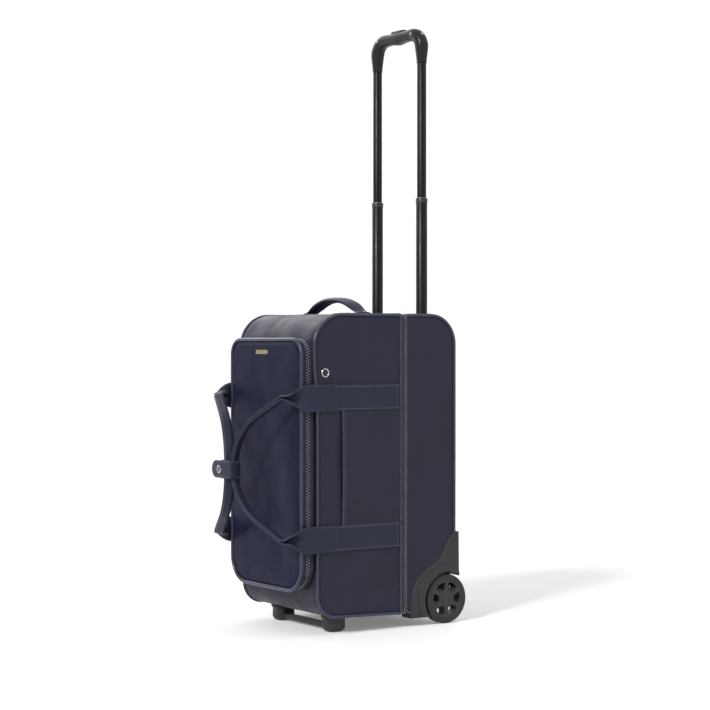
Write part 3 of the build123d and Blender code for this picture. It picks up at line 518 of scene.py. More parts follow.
def clip_loop(points, normals, low, high):
    """The one open run of a closed loop whose first coordinate lies between low and high."""
    count = len(points)
    inside = [(low < p[0] < high) for p in points]
    start = next(i for i in range(count) if inside[i] and not inside[i - 1])

    def crossing(out, within):
        limit = low if points[out][0] <= low else high
        share = (limit - points[out][0]) / (points[within][0] - points[out][0])
        return points[out] + share * (points[within] - points[out])

    run = [(crossing(start - 1, start), normals[start])]
    i = start
    while inside[i]:
        run.append((points[i], normals[i]))
        i = (i + 1) % count
    run.append((crossing(i, i - 1), normals[i - 1]))
    return np.array([r[0] for r in run]), np.array([r[1] for r in run])


def directions(points, closed=False):
    """Unit directions along a sampled path."""
    if closed:
        delta = np.roll(points, -1, axis=0) - np.roll(points, 1, axis=0)
    else:
        delta = np.gradient(points, axis=0)
    return delta / np.linalg.norm(delta, axis=1)[:, None]


def turns(count):
    """Even angles once round a circle."""
    return np.linspace(0, 2 * math.pi, count, endpoint=False)


def signed_power(value, power):
    """A power that keeps the sign, for squarish cross-sections."""
    return math.copysign(abs(value) ** power, value)


def relax(points):
    """Soften the bends of a sampled path in place, and keep its ends."""
    for _ in range(4):
        points[1:-1] = (points[:-2] + 2 * points[1:-1] + points[2:]) / 4


def even_steps(points, step):
    """A path resampled at an even step, with the share of the way along at each point."""
    lengths = np.concatenate([[0], np.cumsum(np.linalg.norm(np.diff(points, axis=0), axis=1))])
    count = max(2, int(round(lengths[-1] / step)) + 1)
    at = np.linspace(0, lengths[-1], count)
    return np.stack([np.interp(at, lengths, points[:, k]) for k in range(3)], axis=1), at


def cord_skin(name, points, outward, radius, material, closed=False, sides=10):
    """A round cord along a path; outward is one direction for each point."""
    stations = []
    for point, along, out in zip(points, directions(points, closed), outward):
        across = np.cross(along, out)
        across /= np.linalg.norm(across)
        lift = np.cross(across, along)
        stations.append([point + radius * (math.cos(a) * across + math.sin(a) * lift)
                         for a in turns(sides)])
    return loft(name, stations, material, closed)


def stitches(name, points, outward, pitch=0.0044, length=0.0030, radius=0.00045):
    """A row of stitches lying along a path on a surface."""
    points, outward = np.array(points, float), np.array(outward, float)
    lengths = np.concatenate([[0], np.cumsum(np.linalg.norm(np.diff(points, axis=0), axis=1))])

    def at(values, s):
        return np.array([np.interp(s, lengths, values[:, k]) for k in range(3)])

    ends = []
    for start in np.arange(pitch / 2, lengths[-1] - length, pitch):
        lift = at(outward, start)
        lift /= np.linalg.norm(lift)
        raised = lift * radius * 0.3
        ends.append((at(points, start) + raised, at(points, start + length) + raised, lift, radius, radius))
    return pills(name, ends, MATERIALS["thread"])


def smoothstep(low, high, value):
    """0 below low, 1 above high, and smooth between."""
    t = min(1.0, max(0.0, (value - low) / (high - low)))
    return t * t * (3 - 2 * t)


def ripple(x, y, z, scale, seed=0.0):
    """Smooth noise from about -1 to 1 over distances of about scale."""
    return noise.noise(Vector((x / scale + seed, y / scale - seed, z / scale + 2 * seed)))


def finish_piece(obj, body, slot, *nodes):
    """Attach a finished piece to its body and hide the CAD nodes it stands for; slot is not used."""
    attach(obj, body)
    if nodes:
        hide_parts(*nodes)
    return obj


# ---------------------------------------------------------------- body
SIDE_OUTLINE = rounded_polygon(
    ((FRONT_Y, BOTTOM_FRONT_Z), (BACK_Y, BOTTOM_BACK_Z), (BACK_Y, TOP_Z), (FRONT_Y, TOP_Z)),
    (BOTTOM_FRONT_RADIUS, BOTTOM_BACK_RADIUS, TOP_RADIUS, TOP_RADIUS), 0.005)
FRONT_RUN = clip_loop(*SIDE_OUTLINE, -1, FRONT_END_Y)
REAR_RUN = clip_loop(*SIDE_OUTLINE, REAR_START_Y, 1)


def slouch(y, z):
    """How far the soft front section leans forward near its top front corner."""
    return 0.0065 * smoothstep(0.0, 0.09, -y) * math.exp(-((z - 0.462) / 0.060) ** 2)


def seam_groove(away):
    """How far the fabric sinks beside the corner piping, at a distance from the seam."""
    return SEAM_GROOVE * (1 - smoothstep(0.0010, 0.0085, away))


def across_profile(step=0.007):
    """(x, inset) pairs across the body from one corner seam to the other."""
    half = []
    for angle in np.linspace(math.pi / 4, math.pi / 2, 5):
        x = HALF_WIDTH - EDGE_RADIUS * (1 - math.cos(angle))
        half.append((x, EDGE_RADIUS * (1 - math.sin(angle)) + seam_groove(SEAM_X - x)))
    flat = HALF_WIDTH - EDGE_RADIUS
    middle = []
    for x in np.linspace(flat, -flat, int(2 * flat / step))[1:-1]:
        middle.append((x, seam_groove(SEAM_X - abs(x))))
    return half + middle + [(-x, inset) for x, inset in reversed(half)]


def gusset(name, run, cut_y, body, node):
    """The band of fabric over the top, front or back, and bottom of one section."""
    points, normals = run
    rows = []
    for (y, z), (ny, nz) in zip(points, normals):
        row = []
        free = smoothstep(0, 0.035, abs(y - cut_y))
        corner = 1 - max(abs(ny), abs(nz)) ** 8
        for x, inset in across_profile():
            flat = smoothstep(0, 0.03, HALF_WIDTH - EDGE_RADIUS - abs(x) + 0.004)
            soft = 0.0011 * ripple(x, y, z, 0.055, 3.0) \
                + 0.0008 * ripple(x, y, z, 0.021, 9.0) * (0.4 + corner)
            crease = 0.0022 * corner * ripple(x * 0.6, y, z, 0.030, 5.0)
            lift = free * flat * (soft + crease - 0.0012 * corner) - inset
            row.append((x, y + lift * ny - slouch(y, z), z + lift * nz))
        rows.append(row)
    centre = (0, (FRONT_Y + BACK_Y) / 2, 0.28)
    obj = shell(name, rows, MATERIALS["shell"], MATERIALS["lining"], centre=centre)
    return finish_piece(obj, body, "shell", node)


def edge_distance(points, y, z):
    """How far (y, z) lies inside an open outline."""
    start, span = points[:-1], points[1:] - points[:-1]
    offset = np.array((y, z)) - start
    share = np.clip((offset * span).sum(1) / (span * span).sum(1), 0, 1)
    return np.linalg.norm(offset - share[:, None] * span, axis=1).min()


def side_panels(name, run, y_low, y_high, body, node):
    """The two side panels of one section, rounded to their seams and softly crowned between them."""
    inner = run[0] - SEAM_DROP * run[1]
    upper = inner[run[1][:, 1] > 0.02]
    lower = inner[run[1][:, 1] < -0.02]
    upper = upper[np.argsort(upper[:, 0])]
    lower = lower[np.argsort(lower[:, 0])]
    stations = y_low + (y_high - y_low) * (1 - np.cos(np.linspace(0, math.pi, 52))) / 2
    panels = []
    for side, sign in SIDES:
        rows = []
        for y in stations:
            top = np.interp(y, upper[:, 0], upper[:, 1])
            bottom = np.interp(y, lower[:, 0], lower[:, 1])
            row = []
            for share in (1 - np.cos(np.linspace(0, math.pi, 110))) / 2:
                z = bottom + share * (top - bottom)
                inset = edge_distance(run[0], y, z)
                drop = 0.0
                if inset < EDGE_RADIUS:
                    drop = EDGE_RADIUS - math.sqrt(EDGE_RADIUS**2 - (EDGE_RADIUS - inset) ** 2)
                edge = smoothstep(0.004, 0.035, inset) * smoothstep(0, 0.025, abs(y - FRONT_END_Y)) \
                    * smoothstep(0, 0.025, abs(y - REAR_START_Y))
                soft = 0.0014 * ripple(0.3 * sign, y, z * 0.55, 0.060, 1.7) \
                    + 0.0007 * ripple(0.1 * sign, y * 1.6, z * 0.5, 0.030, 6.1)
                drop += seam_groove(inset - SEAM_DROP)
                row.append((sign * (HALF_WIDTH - drop + edge * soft), y - slouch(y, z), z))
            rows.append(row)
        panels.append(shell(f"{name}_{side}", rows, MATERIALS["shell"], MATERIALS["lining"],
                            centre=(0, 0, 0.27)))
    return finish_piece(join(name, panels), body, "shell", node)


def body_piping(name, run, body, node):
    """The two covered cords along the corner seams of one section."""
    cords = []
    out = 0.0003
    drop = SEAM_DROP - out
    for side, sign in SIDES:
        path = [(sign * (SEAM_X + out), y - drop * ny - slouch(y, z), z - drop * nz)
                for (y, z), (ny, nz) in zip(*run)]
        outward = [(sign, ny, nz) for ny, nz in run[1]]
        cords.append(cord_skin(f"{name}_{side}", np.array(path), np.array(outward), PIPING_RADIUS,
                               MATERIALS["piping"]))
    return finish_piece(join(name, cords), body, "piping", node)


def make_body():
    """Fabric of both sections; the rear one is cut away at the wheel housings and the handle tubes."""
    gusset("front_gusset_fabric", FRONT_RUN, FRONT_END_Y, "front_section", "front_gusset")
    side_panels("front_side_fabric", FRONT_RUN, FRONT_Y + SEAM_DROP, FRONT_END_Y, "front_section",
                "front_side_panels")
    body_piping("front_piping_cords", FRONT_RUN, "front_section", "front_piping")
    rear = [
        gusset("rear_gusset_fabric", REAR_RUN, REAR_START_Y, "rear_section", "rear_gusset"),
        side_panels("rear_side_fabric", REAR_RUN, REAR_START_Y, BACK_Y - SEAM_DROP, "rear_section",
                    "rear_side_panels"),
        body_piping("rear_piping_cords", REAR_RUN, "rear_section", "rear_piping"),
    ]
    cutters = []
    for side, sign in SIDES:
        outline = housing_outline()
        rows = [[(x, y, z) for y, z in outline] for x in (sign * (HOUSING_LOW.x - 0.0002), sign * 0.130)]
        cutters.append(loft(f"housing_cutter_{side}", rows, MATERIALS["shell"]))
        rows = [[(sign * TUBE_X + TUBE_HOLE * math.cos(a), TUBE_Y + TUBE_HOLE * math.sin(a), z)
                 for a in turns(32)]
                for z in (TOP_Z - 0.02, TOP_Z + 0.02)]
        cutters.append(loft(f"tube_cutter_{side}", rows, MATERIALS["shell"]))
    cutter = join("housing_cutter", cutters)
    for piece in rear:
        cut = piece.modifiers.new("housing", "BOOLEAN")
        cut.operation = "DIFFERENCE"
        cut.solver = "EXACT"
        cut.object = cutter
        bake(piece)
    bpy.data.objects.remove(cutter)


# ---------------------------------------------------------------- main zip
def girth(depth, step=0.006):
    """The body's outline across, at the main zip, sunk by depth: (x, z) points and normals."""
    bottom = BOTTOM_FRONT_Z + (BOTTOM_BACK_Z - BOTTOM_FRONT_Z) * (ZIP_Y - FRONT_Y) / (BACK_Y - FRONT_Y)
    corners = rectangle(-HALF_WIDTH, bottom, HALF_WIDTH, TOP_Z)
    points, normals = rounded_polygon(corners, (EDGE_RADIUS,) * 4, step)
    return points - depth * normals, normals


def zip_tape(name, profile, outside):
    """A band round the body: profile lists (y, depth) across it."""
    loops = [girth(depth) for _, depth in profile]
    rows = []
    for i in range(len(loops[0][0])):
        rows.append([(loop[0][i][0], y, loop[0][i][1]) for (y, _), loop in zip(profile, loops)])
    return shell(name, rows, outside, MATERIALS["tape"], TAPE_THICKNESS, centre=(0, ZIP_Y, 0.27),
                 close_rows=True)


def teeth_along(points, normals, across, offset, reach, first):
    """Ends of the zip teeth of one side, standing across the run of a chain."""
    path, at = even_steps(points, TOOTH_PITCH / 2)
    lengths = np.concatenate([[0], np.cumsum(np.linalg.norm(np.diff(points, axis=0), axis=1))])
    ends = []
    for k in range(first, len(path), 2):
        lift = np.array([np.interp(at[k], lengths, normals[:, axis]) for axis in range(3)])
        lift /= np.linalg.norm(lift)
        base = path[k] + lift * offset
        ends.append((base - reach[0] * across, base + reach[1] * across, lift, TOOTH_HALF_WIDTH,
                     TOOTH_HALF_HEIGHT))
    return ends


def make_main_zip():
    """Edge piping, tapes and interlocking teeth between the front and rear sections."""
    points, normals = girth(0.0)
    ring = np.array([(x, EDGE_PIPING_Y, z) for x, z in points + 0.0002 * normals])
    outward = np.array([(x, 0, z) for x, z in normals])
    cord = cord_skin("zip_edge_piping_cord", ring, outward, 0.0024, MATERIALS["piping"], closed=True,
                     sides=12)
    finish_piece(cord, "front_section", "piping", "zip_edge_piping")
    run, run_normals = clip_loop(*girth(0.0004, 0.004), CHAIN_END_X, 1)
    path = np.array([(x, ZIP_Y, z) for x, z in run])
    lifts = np.array([(x, 0, z) for x, z in run_normals])
    front_teeth = pills("front_teeth", teeth_along(path, lifts, ALONG_Y, 0.0003, (0.0030, -0.0006), 0),
                        MATERIALS["teeth"])
    rear_teeth = pills("rear_teeth", teeth_along(path, lifts, ALONG_Y, 0.0003, (-0.0006, 0.0030), 1),
                       MATERIALS["teeth"])
    front = zip_tape("front_tape", ((EDGE_PIPING_Y, 0.0010), (EDGE_PIPING_Y + 0.003, 0.0004),
                                    (EDGE_PIPING_Y + 0.0055, 0.0007), (EDGE_PIPING_Y + 0.0062, 0.0016),
                                    (ZIP_Y - 0.0022, 0.0012), (ZIP_Y - 0.0003, 0.0012)), MATERIALS["tape"])
    rear = zip_tape("rear_tape", ((ZIP_Y + 0.0003, 0.0012), (ZIP_Y + 0.0022, 0.0012),
                                  (REAR_START_Y + 0.0010, 0.0026)), MATERIALS["tape"])
    finish_piece(join("main_zip_front_half", [front, front_teeth]), "front_section", "zip_chain",
                 "main_zip_chain_front")
    finish_piece(join("main_zip_rear_half", [rear, rear_teeth]), "rear_section", "zip_chain",
                 "main_zip_chain_rear")
    low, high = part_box("hinge_strip_front")
    ys = np.linspace(EDGE_PIPING_Y + 0.004, REAR_START_Y + 0.010, 25)
    section = [(-HALF_WIDTH - 0.0012 - 0.0005 * math.cos(math.pi * (y - ZIP_Y) / 0.022), y) for y in ys]
    rows = [[(x, y, z) for x, y in section] for z in np.linspace(low.z, high.z, 60)]
    hinge = shell("fabric_hinge", rows, MATERIALS["shell"], MATERIALS["shell"], 0.0011,
                  centre=(0, ZIP_Y, 0.27))
    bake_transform(hinge)
    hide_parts("hinge_strip_front", "hinge_strip_rear")


# ---------------------------------------------------------------- front pocket
def pocket_outline(inset, step=0.006):
    """(x, z) points and normals round the pocket, drawn in by inset."""
    low, high = POCKET_LOW, POCKET_HIGH
    radii = (POCKET_BOTTOM_RADIUS,) * 2 + (POCKET_TOP_RADIUS,) * 2
    points, normals = rounded_polygon(rectangle(low.x, low.z, high.x, high.z), radii, step)
    return points - inset * normals, normals


def make_pocket():
    """Front pocket: gusset in two strips with the zip between them, crowned panel and piping."""
    half_gap = 0.0042
    front_edge = POCKET_LOW.y + 0.0006

    def strip(name, profile, outside):
        loops = [pocket_outline(inset) for _, inset in profile]
        rows = [[(loop[0][i][0], y, loop[0][i][1]) for (y, _), loop in zip(profile, loops)]
                for i in range(len(loops[0][0]))]
        return shell(name, rows, outside, MATERIALS["lining"], STRIP_THICKNESS,
                     centre=(0, POCKET_ZIP_Y, 0.28), close_rows=True)

    back = strip("back_strip", ((FRONT_Y + 0.0005, -0.0006), (FRONT_Y - 0.004, 0.0004),
                                (POCKET_ZIP_Y + half_gap + 0.001, 0.0), (POCKET_ZIP_Y + half_gap, 0.0011)),
                 MATERIALS["shell"])
    fore = strip("fore_strip", ((POCKET_ZIP_Y - half_gap, 0.0011), (POCKET_ZIP_Y - half_gap - 0.001, 0.0),
                                (front_edge + 0.004, 0.0), (front_edge, 0.0004)), MATERIALS["shell"])
    finish_piece(join("pocket_gusset_fabric", [back, fore]), "front_section", "shell", "pocket_gusset")
    points, normals = pocket_outline(0.0014, 0.004)
    path = np.array([(x, POCKET_ZIP_Y, z) for x, z in points])
    lifts = np.array([(x, 0, z) for x, z in normals])
    keep = path[:, 2] > POCKET_LOW.z + POCKET_BOTTOM_RADIUS * 0.6
    start = next(i for i in range(len(path)) if keep[i] and not keep[i - 1])
    order = [(start + i) % len(path) for i in range(int(keep.sum()))]
    run, run_lifts = path[order], lifts[order]
    ends = teeth_along(run, run_lifts, ALONG_Y, 0.0006, (0.0034, -0.0006), 0)
    ends += teeth_along(run, run_lifts, ALONG_Y, 0.0006, (-0.0006, 0.0034), 1)
    teeth = pills("pocket_teeth", ends, MATERIALS["teeth"])
    tape = strip("pocket_tape", ((POCKET_ZIP_Y + half_gap + 0.0015, 0.0018), (POCKET_ZIP_Y, 0.0014),
                                 (POCKET_ZIP_Y - half_gap - 0.0015, 0.0018)), MATERIALS["tape"])
    finish_piece(join("pocket_zip", [tape, teeth]), "front_section", "zip_chain", "pocket_zip_chain")
    ring_points, ring_normals = pocket_outline(0.0008, 0.005)
    ring = np.array([(x, POCKET_LOW.y + 0.0006, z) for x, z in ring_points])
    outward = np.array([(0.7 * x, -0.7, 0.7 * z) for x, z in ring_normals])
    cord = cord_skin("pocket_piping_cord", ring, outward, 0.0030, MATERIALS["piping"], closed=True,
                     sides=12)
    finish_piece(cord, "front_section", "piping", "pocket_piping")
    pocket_front()


def pocket_front():
    """The pocket's front panel: a soft crown with shallow waves, drawn in at its seam."""
    border, _ = pocket_outline(0.0012, 0.005)
    centre = np.array((0.0, (POCKET_LOW.z + POCKET_HIGH.z) / 2))
    rows = []
    for share in np.concatenate([np.linspace(1.0, 0.90, 14), np.linspace(0.86, 0.0, 26)]):
        row = []
        for x, z in centre + share * (border - centre):
            rise = (1 - share**6) * (1 - 0.35 * (1 - share))
            wave = 0.0016 * ripple(x, 0.2, z * 0.6, 0.075, 4.2) + 0.0006 * ripple(x, 0.4, z, 0.028, 2.2)
            fold = -0.0022 * math.exp(-((x + 0.25 * (z - 0.27) - 0.02) / 0.035) ** 2) * (1 - share**4)
            sunk = 0.0026 * (1 - smoothstep(0.0, 0.050, 1 - share))
            y = POCKET_LOW.y + sunk - 0.0002 - 0.0022 * rise - (wave + fold) * (1 - share**8)
            row.append((x, y, z))
        rows.append(row)
    obj = shell("pocket_front_fabric", rows, MATERIALS["pocket"], MATERIALS["lining"], 0.0018,
                centre=(0, 0, 0.28), close_columns=True)
    finish_piece(obj, "front_section", "shell", "pocket_panel")


# ---------------------------------------------------------------- straps and haul handles
def fold_section(fold, width, thickness, count=15):
    """A strap's cross-section, from flat (fold 0) to folded lengthwise with its edges together (fold 1).

    Points are (across, lift): the strap's outer face first, then its inner face back."""
    half = width / 2
    bend_length = half * 0.36
    samples = np.linspace(-half, half, count)
    fine = np.linspace(0, half, 60)
    angle = fold * FOLD_ANGLE * np.clip(fine / bend_length, 0, 1)
    step = fine[1] - fine[0]
    across = np.concatenate([[0], np.cumsum(np.cos((angle[1:] + angle[:-1]) / 2) * step)])
    lift = np.concatenate([[0], np.cumsum(np.sin((angle[1:] + angle[:-1]) / 2) * step)])
    outer, inner = [], []
    shift = -lift[-1] / 2
    for s in samples:
        sign = -1 if s < 0 else 1
        a, u = np.interp(abs(s), fine, across) * sign, np.interp(abs(s), fine, lift) + shift
        direction = np.interp(abs(s), fine, angle) * sign
        normal = np.array((-math.sin(direction), math.cos(direction)))
        edge = 1 - 0.35 * smoothstep(half - 0.0016, half, abs(s))
        outer.append(np.array((a, u)) + normal * thickness / 2 * edge)
        inner.append(np.array((a, u)) - normal * thickness / 2 * edge)
    return outer + inner[::-1]


def handle_path(sign):
    """Centre line of a side's handle strap from the upper end to the lower: points and loop normals."""
    fold = np.array((FOLD_X, FOLD_Y))
    toward = np.array((WRAP_X, WRAP_Y)) - fold
    reach = np.linalg.norm(toward)
    toward /= reach
    loop_normal = np.array((-toward[1], toward[0]))
    loop_normal *= -1 if loop_normal[1] > 0 else 1
    middle = reach - LOOP_RADIUS
    rise = STRAP_UPPER_Z + 0.003 - MID_Z
    distance = math.hypot(middle, rise)
    tangent = math.acos(LOOP_RADIUS / distance)
    base = math.atan2(rise, -middle)
    first = base - tangent
    plane = []
    touch = np.array((middle + LOOP_RADIUS * math.cos(first), LOOP_RADIUS * math.sin(first)))
    for share in np.linspace(0, 1, 12)[:-1]:
        plane.append(np.array((0, rise)) * (1 - share) + touch * share)
    for angle in np.linspace(first, -first, 26):
        plane.append(np.array((middle + LOOP_RADIUS * math.cos(angle), LOOP_RADIUS * math.sin(angle))))
    for share in np.linspace(0, 1, 12)[1:]:
        plane.append(touch * (1, -1) * (1 - share) + np.array((0, -rise)) * share)
    start_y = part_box("eyelets")[0].y + 0.026
    side_x = STRAP_X - 0.0010
    approach = []
    for y in np.linspace(start_y, STRAP_LEAVES_Y, 7)[:-1]:
        approach.append((side_x, y))
    corner = [(side_x, STRAP_LEAVES_Y), (side_x, STRAP_BEND_Y), (FOLD_X, FOLD_Y)]
    for t in np.linspace(0, 1, 9)[:-1]:
        approach.append(tuple((1 - t) ** 2 * np.array(corner[0]) + 2 * t * (1 - t) * np.array(corner[1])
                              + t**2 * np.array(corner[2])))
    points, outs = [], []
    for x, y in approach:
        points.append((x, y, STRAP_UPPER_Z))
    for s, z in plane:
        x, y = fold + s * toward
        points.append((x, y, MID_Z + z))
    for x, y in reversed(approach):
        points.append((x, y, STRAP_LOWER_Z))
    points = np.array(points)
    points[:, 0] *= sign
    fine, at = even_steps(points, PATH_STEP)
    relax(fine)
    normal = np.array((sign * loop_normal[0], loop_normal[1], 0.0))
    for point in fine:
        swung = 1 - smoothstep(STRAP_TURNED_Y, STRAP_LEAVES_Y, point[1])
        out = (1 - swung) * np.array((sign, 0.0, 0.0)) + swung * normal
        outs.append(out / np.linalg.norm(out))
    return fine, np.array(outs)


def make_haul_handle(side, sign):
    """One side's strap, which leaves the side panel, folds lengthwise and forms the hand loop."""
    points, outs = handle_path(sign)
    along = directions(points)
    stations, edges, edge_outs = [], ([], []), ([], [])
    for point, direction, out in zip(points, along, outs):
        across = np.cross(out, direction)
        across /= np.linalg.norm(across)
        lift = np.cross(direction, across)
        if lift @ out < 0:
            lift = -lift
        fold = 1 - smoothstep(FOLD_Y - 0.004, FOLD_STARTS_Y, point[1])
        width = STRAP_HEIGHT + (FOLDED_WIDTH - STRAP_HEIGHT) * fold
        section = fold_section(fold, width, WEB_THICKNESS - FOLDED_THINNING * fold)
        placed = [point + a * across + u * lift for a, u in section]
        stations.append(placed)
        inner_start = len(section) // 2
        for k, index in enumerate((len(section) - 2, inner_start + 1)):
            edges[k].append(placed[index])
            away = np.sign(section[index][0]) * across if fold > 0.5 else lift
            edge_outs[k].append(away)
    body = loft(f"handle_{side}", stations, MATERIALS["strap"])
    parts = [body]
    for k in range(2):
        parts.append(stitches(f"handle_stitch_{side}_{k}", edges[k], edge_outs[k]))
    return finish_piece(join(f"haul_handle_strap_{side}", parts), "front_section", "strap",
                        f"haul_handle_{side}")


def make_side_straps():
    """The straps sewn flat along the sides, under the handle straps."""
    pieces = {"upper": [], "lower": []}
    start_y, end_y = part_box("eyelets")[0].y - 0.004, EDGE_PIPING_Y - 0.001
    for level, z_middle in (("upper", STRAP_UPPER_Z), ("lower", STRAP_LOWER_Z)):
        for side, sign in SIDES:
            rows = []
            for y in np.linspace(start_y, end_y, 40):
                end = smoothstep(0, 0.006, end_y - y)
                row = []
                for share in np.linspace(-1, 1, 15):
                    soft = 0.0005 * ripple(sign, y, z_middle + share * 0.02, 0.030, 8.0)
                    lift = (SEWN_LIFT + soft) * end - 0.0007 * smoothstep(0.86, 1.0, abs(share))
                    row.append((sign * (HALF_WIDTH + lift), y, z_middle + share * STRAP_HEIGHT / 2 * 0.97))
                rows.append(row)
            strap = shell(f"strap_{level}_{side}", rows, MATERIALS["strap"], MATERIALS["strap"], 0.0022,
                          centre=(0, 0, z_middle))
            pieces[level].append(strap)
            for share in (-1, 1):
                line = [(sign * (HALF_WIDTH + SEWN_LIFT), y, z_middle + share * (STRAP_HEIGHT / 2 - 0.0036))
                        for y in np.linspace(start_y + 0.03, end_y - 0.003, 30)]
                pieces[level].append(stitches(f"strap_stitch_{level}_{side}_{share}", line,
                                              [(sign, 0, 0)] * len(line)))
    for level, parts in pieces.items():
        finish_piece(join(f"side_strap_webs_{level}", parts), "front_section", "strap",
                     f"side_straps_{level}")


# ---------------------------------------------------------------- side pockets
def make_slip_pockets():
    """Open pockets on the sides: a flat panel with a rolled front edge that stands off a little."""
    low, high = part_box("slip_pockets")
    mouth, back = low.y, high.y
    pieces = []
    for side, sign in SIDES:
        rows = []
        for y in np.linspace(mouth, back, 36):
            open_ = 1 - smoothstep(0, 0.07, y - mouth)
            row = []
            for z in np.linspace(low.z - 0.004, high.z + 0.004, 50):
                middle = math.sin(math.pi * (z - low.z + 0.004) / (high.z - low.z + 0.008))
                soft = 0.0009 * ripple(sign, y, z * 0.6, 0.040, 2.5) * middle
                lift = 0.0020 + 0.0034 * open_ * middle + soft
                row.append((sign * (HALF_WIDTH + lift), y, z))
            rows.append(row)
        pieces.append(shell(f"slip_{side}", rows, MATERIALS["shell"], MATERIALS["lining"], 0.0014,
                            centre=(0, 0, 0.27)))
        edge = np.array(rows[0])
        outward = np.array([(sign, -0.4, 0)] * len(edge))
        sunk = edge - np.array((sign * 0.0006, 0, 0))
        pieces.append(cord_skin(f"slip_edge_{side}", sunk, outward, 0.0016, MATERIALS["piping"]))
        line = np.array(rows[1]) + np.array((sign * 0.0001, 0.0008, 0))
        pieces.append(stitches(f"slip_stitch_{side}", line, [(sign, 0, 0)] * len(line)))
    finish_piece(join("slip_pocket_fabric", pieces), "front_section", "shell", "slip_pockets")


# ---------------------------------------------------------------- plates and turned pieces
def plate(name, loops, frame_axes, depth, bevel, material):
    """A flat plate with rounded edges: loops of (u, v), the outer one first, then its holes.

    frame_axes is (origin, u axis, v axis, w axis); the plate fills w from 0 to depth."""
    curve = bpy.data.curves.new(name, "CURVE")
    curve.dimensions = "2D"
    curve.fill_mode = "BOTH"
    curve.extrude = depth / 2 - bevel
    curve.bevel_depth = bevel
    curve.bevel_resolution = 3
    for loop in loops:
        spline = curve.splines.new("POLY")
        spline.points.add(len(loop) - 1)
        for point, (u, v) in zip(spline.points, loop):
            point.co = (u, v, 0, 1)
        spline.use_cyclic_u = True
    flat = bpy.data.objects.new(name, curve)
    bpy.context.scene.collection.objects.link(flat)
    mesh = bpy.data.meshes.new_from_object(flat.evaluated_get(bpy.context.evaluated_depsgraph_get()))
    bpy.data.objects.remove(flat)
    bpy.data.curves.remove(curve)
    origin, u_axis, v_axis, w_axis = (np.array(a, float) for a in frame_axes)
    for vertex in mesh.vertices:
        u, v, w = vertex.co
        vertex.co = origin + u * u_axis + v * v_axis + (w + depth / 2) * w_axis
    obj = bpy.data.objects.new(name, mesh)
    bpy.context.scene.collection.objects.link(obj)
    tidy_normals(obj)
    mesh.materials.clear()
    mesh.materials.append(material)
    mesh.polygons.foreach_set("use_smooth", [True] * len(mesh.polygons))
    mesh.set_sharp_from_angle(angle=math.radians(40))
    return obj


def turned(name, profile, frame_axes, material, segments=72):
    """A turned piece: profile lists (w, radius) along its axis, which is the w axis."""
    origin, u_axis, v_axis, w_axis = (np.array(a, float) for a in frame_axes)
    stations = []
    for angle in turns(segments):
        radial = math.cos(angle) * u_axis + math.sin(angle) * v_axis
        stations.append([origin + w * w_axis + radius * radial for w, radius in profile])
    obj = loft(name, stations, material, closed=True)
    obj.data.set_sharp_from_angle(angle=math.radians(50))
    return obj


def upright_axes(x, y, z):
    """Plate axes at a point, looking up."""
    return (x, y, z), (1, 0, 0), (0, 1, 0), (0, 0, 1)


def front_axes(x, y, z):
    """Plate axes at a point, looking forward from the front of the case."""
    return (x, y, z), (1, 0, 0), (0, 0, 1), (0, -1, 0)


def wheel_axes(sign, x):
    """Plate axes on a wheel's centre line, looking outward from the body."""
    return (sign * x, WHEEL_Y, WHEEL_Z), (0, 1, 0), (0, 0, 1), (sign, 0, 0)


# ---------------------------------------------------------------- wheels and housings
HOUSING_CURVE = (
    (0.0900, 0.0160), (0.0902, 0.0400), (0.0965, 0.0660), (0.1120, 0.0880), (0.1330, 0.1020),
    (0.1490, 0.1120), (0.1590, 0.1240), (0.1690, 0.1420), (0.1790, 0.1535), (0.1890, 0.1550),
)


def housing_outline():
    """The wheel housing's side outline as (y, z), anticlockwise from its lower rear corner."""
    curve = smooth_path([(0.0, y, z) for y, z in HOUSING_CURVE], 0.003)
    outline = [(HOUSING_HIGH.y, HOUSING_CURVE[0][1])]
    return [(HOUSING_HIGH.y, HOUSING_CURVE[-1][1])] + [(y, z) for _, y, z in curve[::-1][1:]] + outline


def smooth_path(controls, step):
    """A Catmull-Rom curve through the control points, at an even step."""
    p = [np.array(c, float) for c in controls]
    p = [2 * p[0] - p[1]] + p + [2 * p[-1] - p[-2]]
    fine = []
    for i in range(1, len(p) - 2):
        for t in np.linspace(0, 1, 16, endpoint=False):
            a, b, c, d = p[i - 1:i + 3]
            fine.append(0.5 * (2 * b + (c - a) * t + (2 * a - 5 * b + 4 * c - d) * t**2
                               + (3 * b - 3 * c + d - a) * t**3))
    fine.append(p[-2])
    return even_steps(np.array(fine), step)[0]


def arc(radius, first, last, count):
    """Points on a circle about the wheel's centre, as offsets (y, z)."""
    return [(radius * math.cos(a), radius * math.sin(a)) for a in np.linspace(first, last, count)]


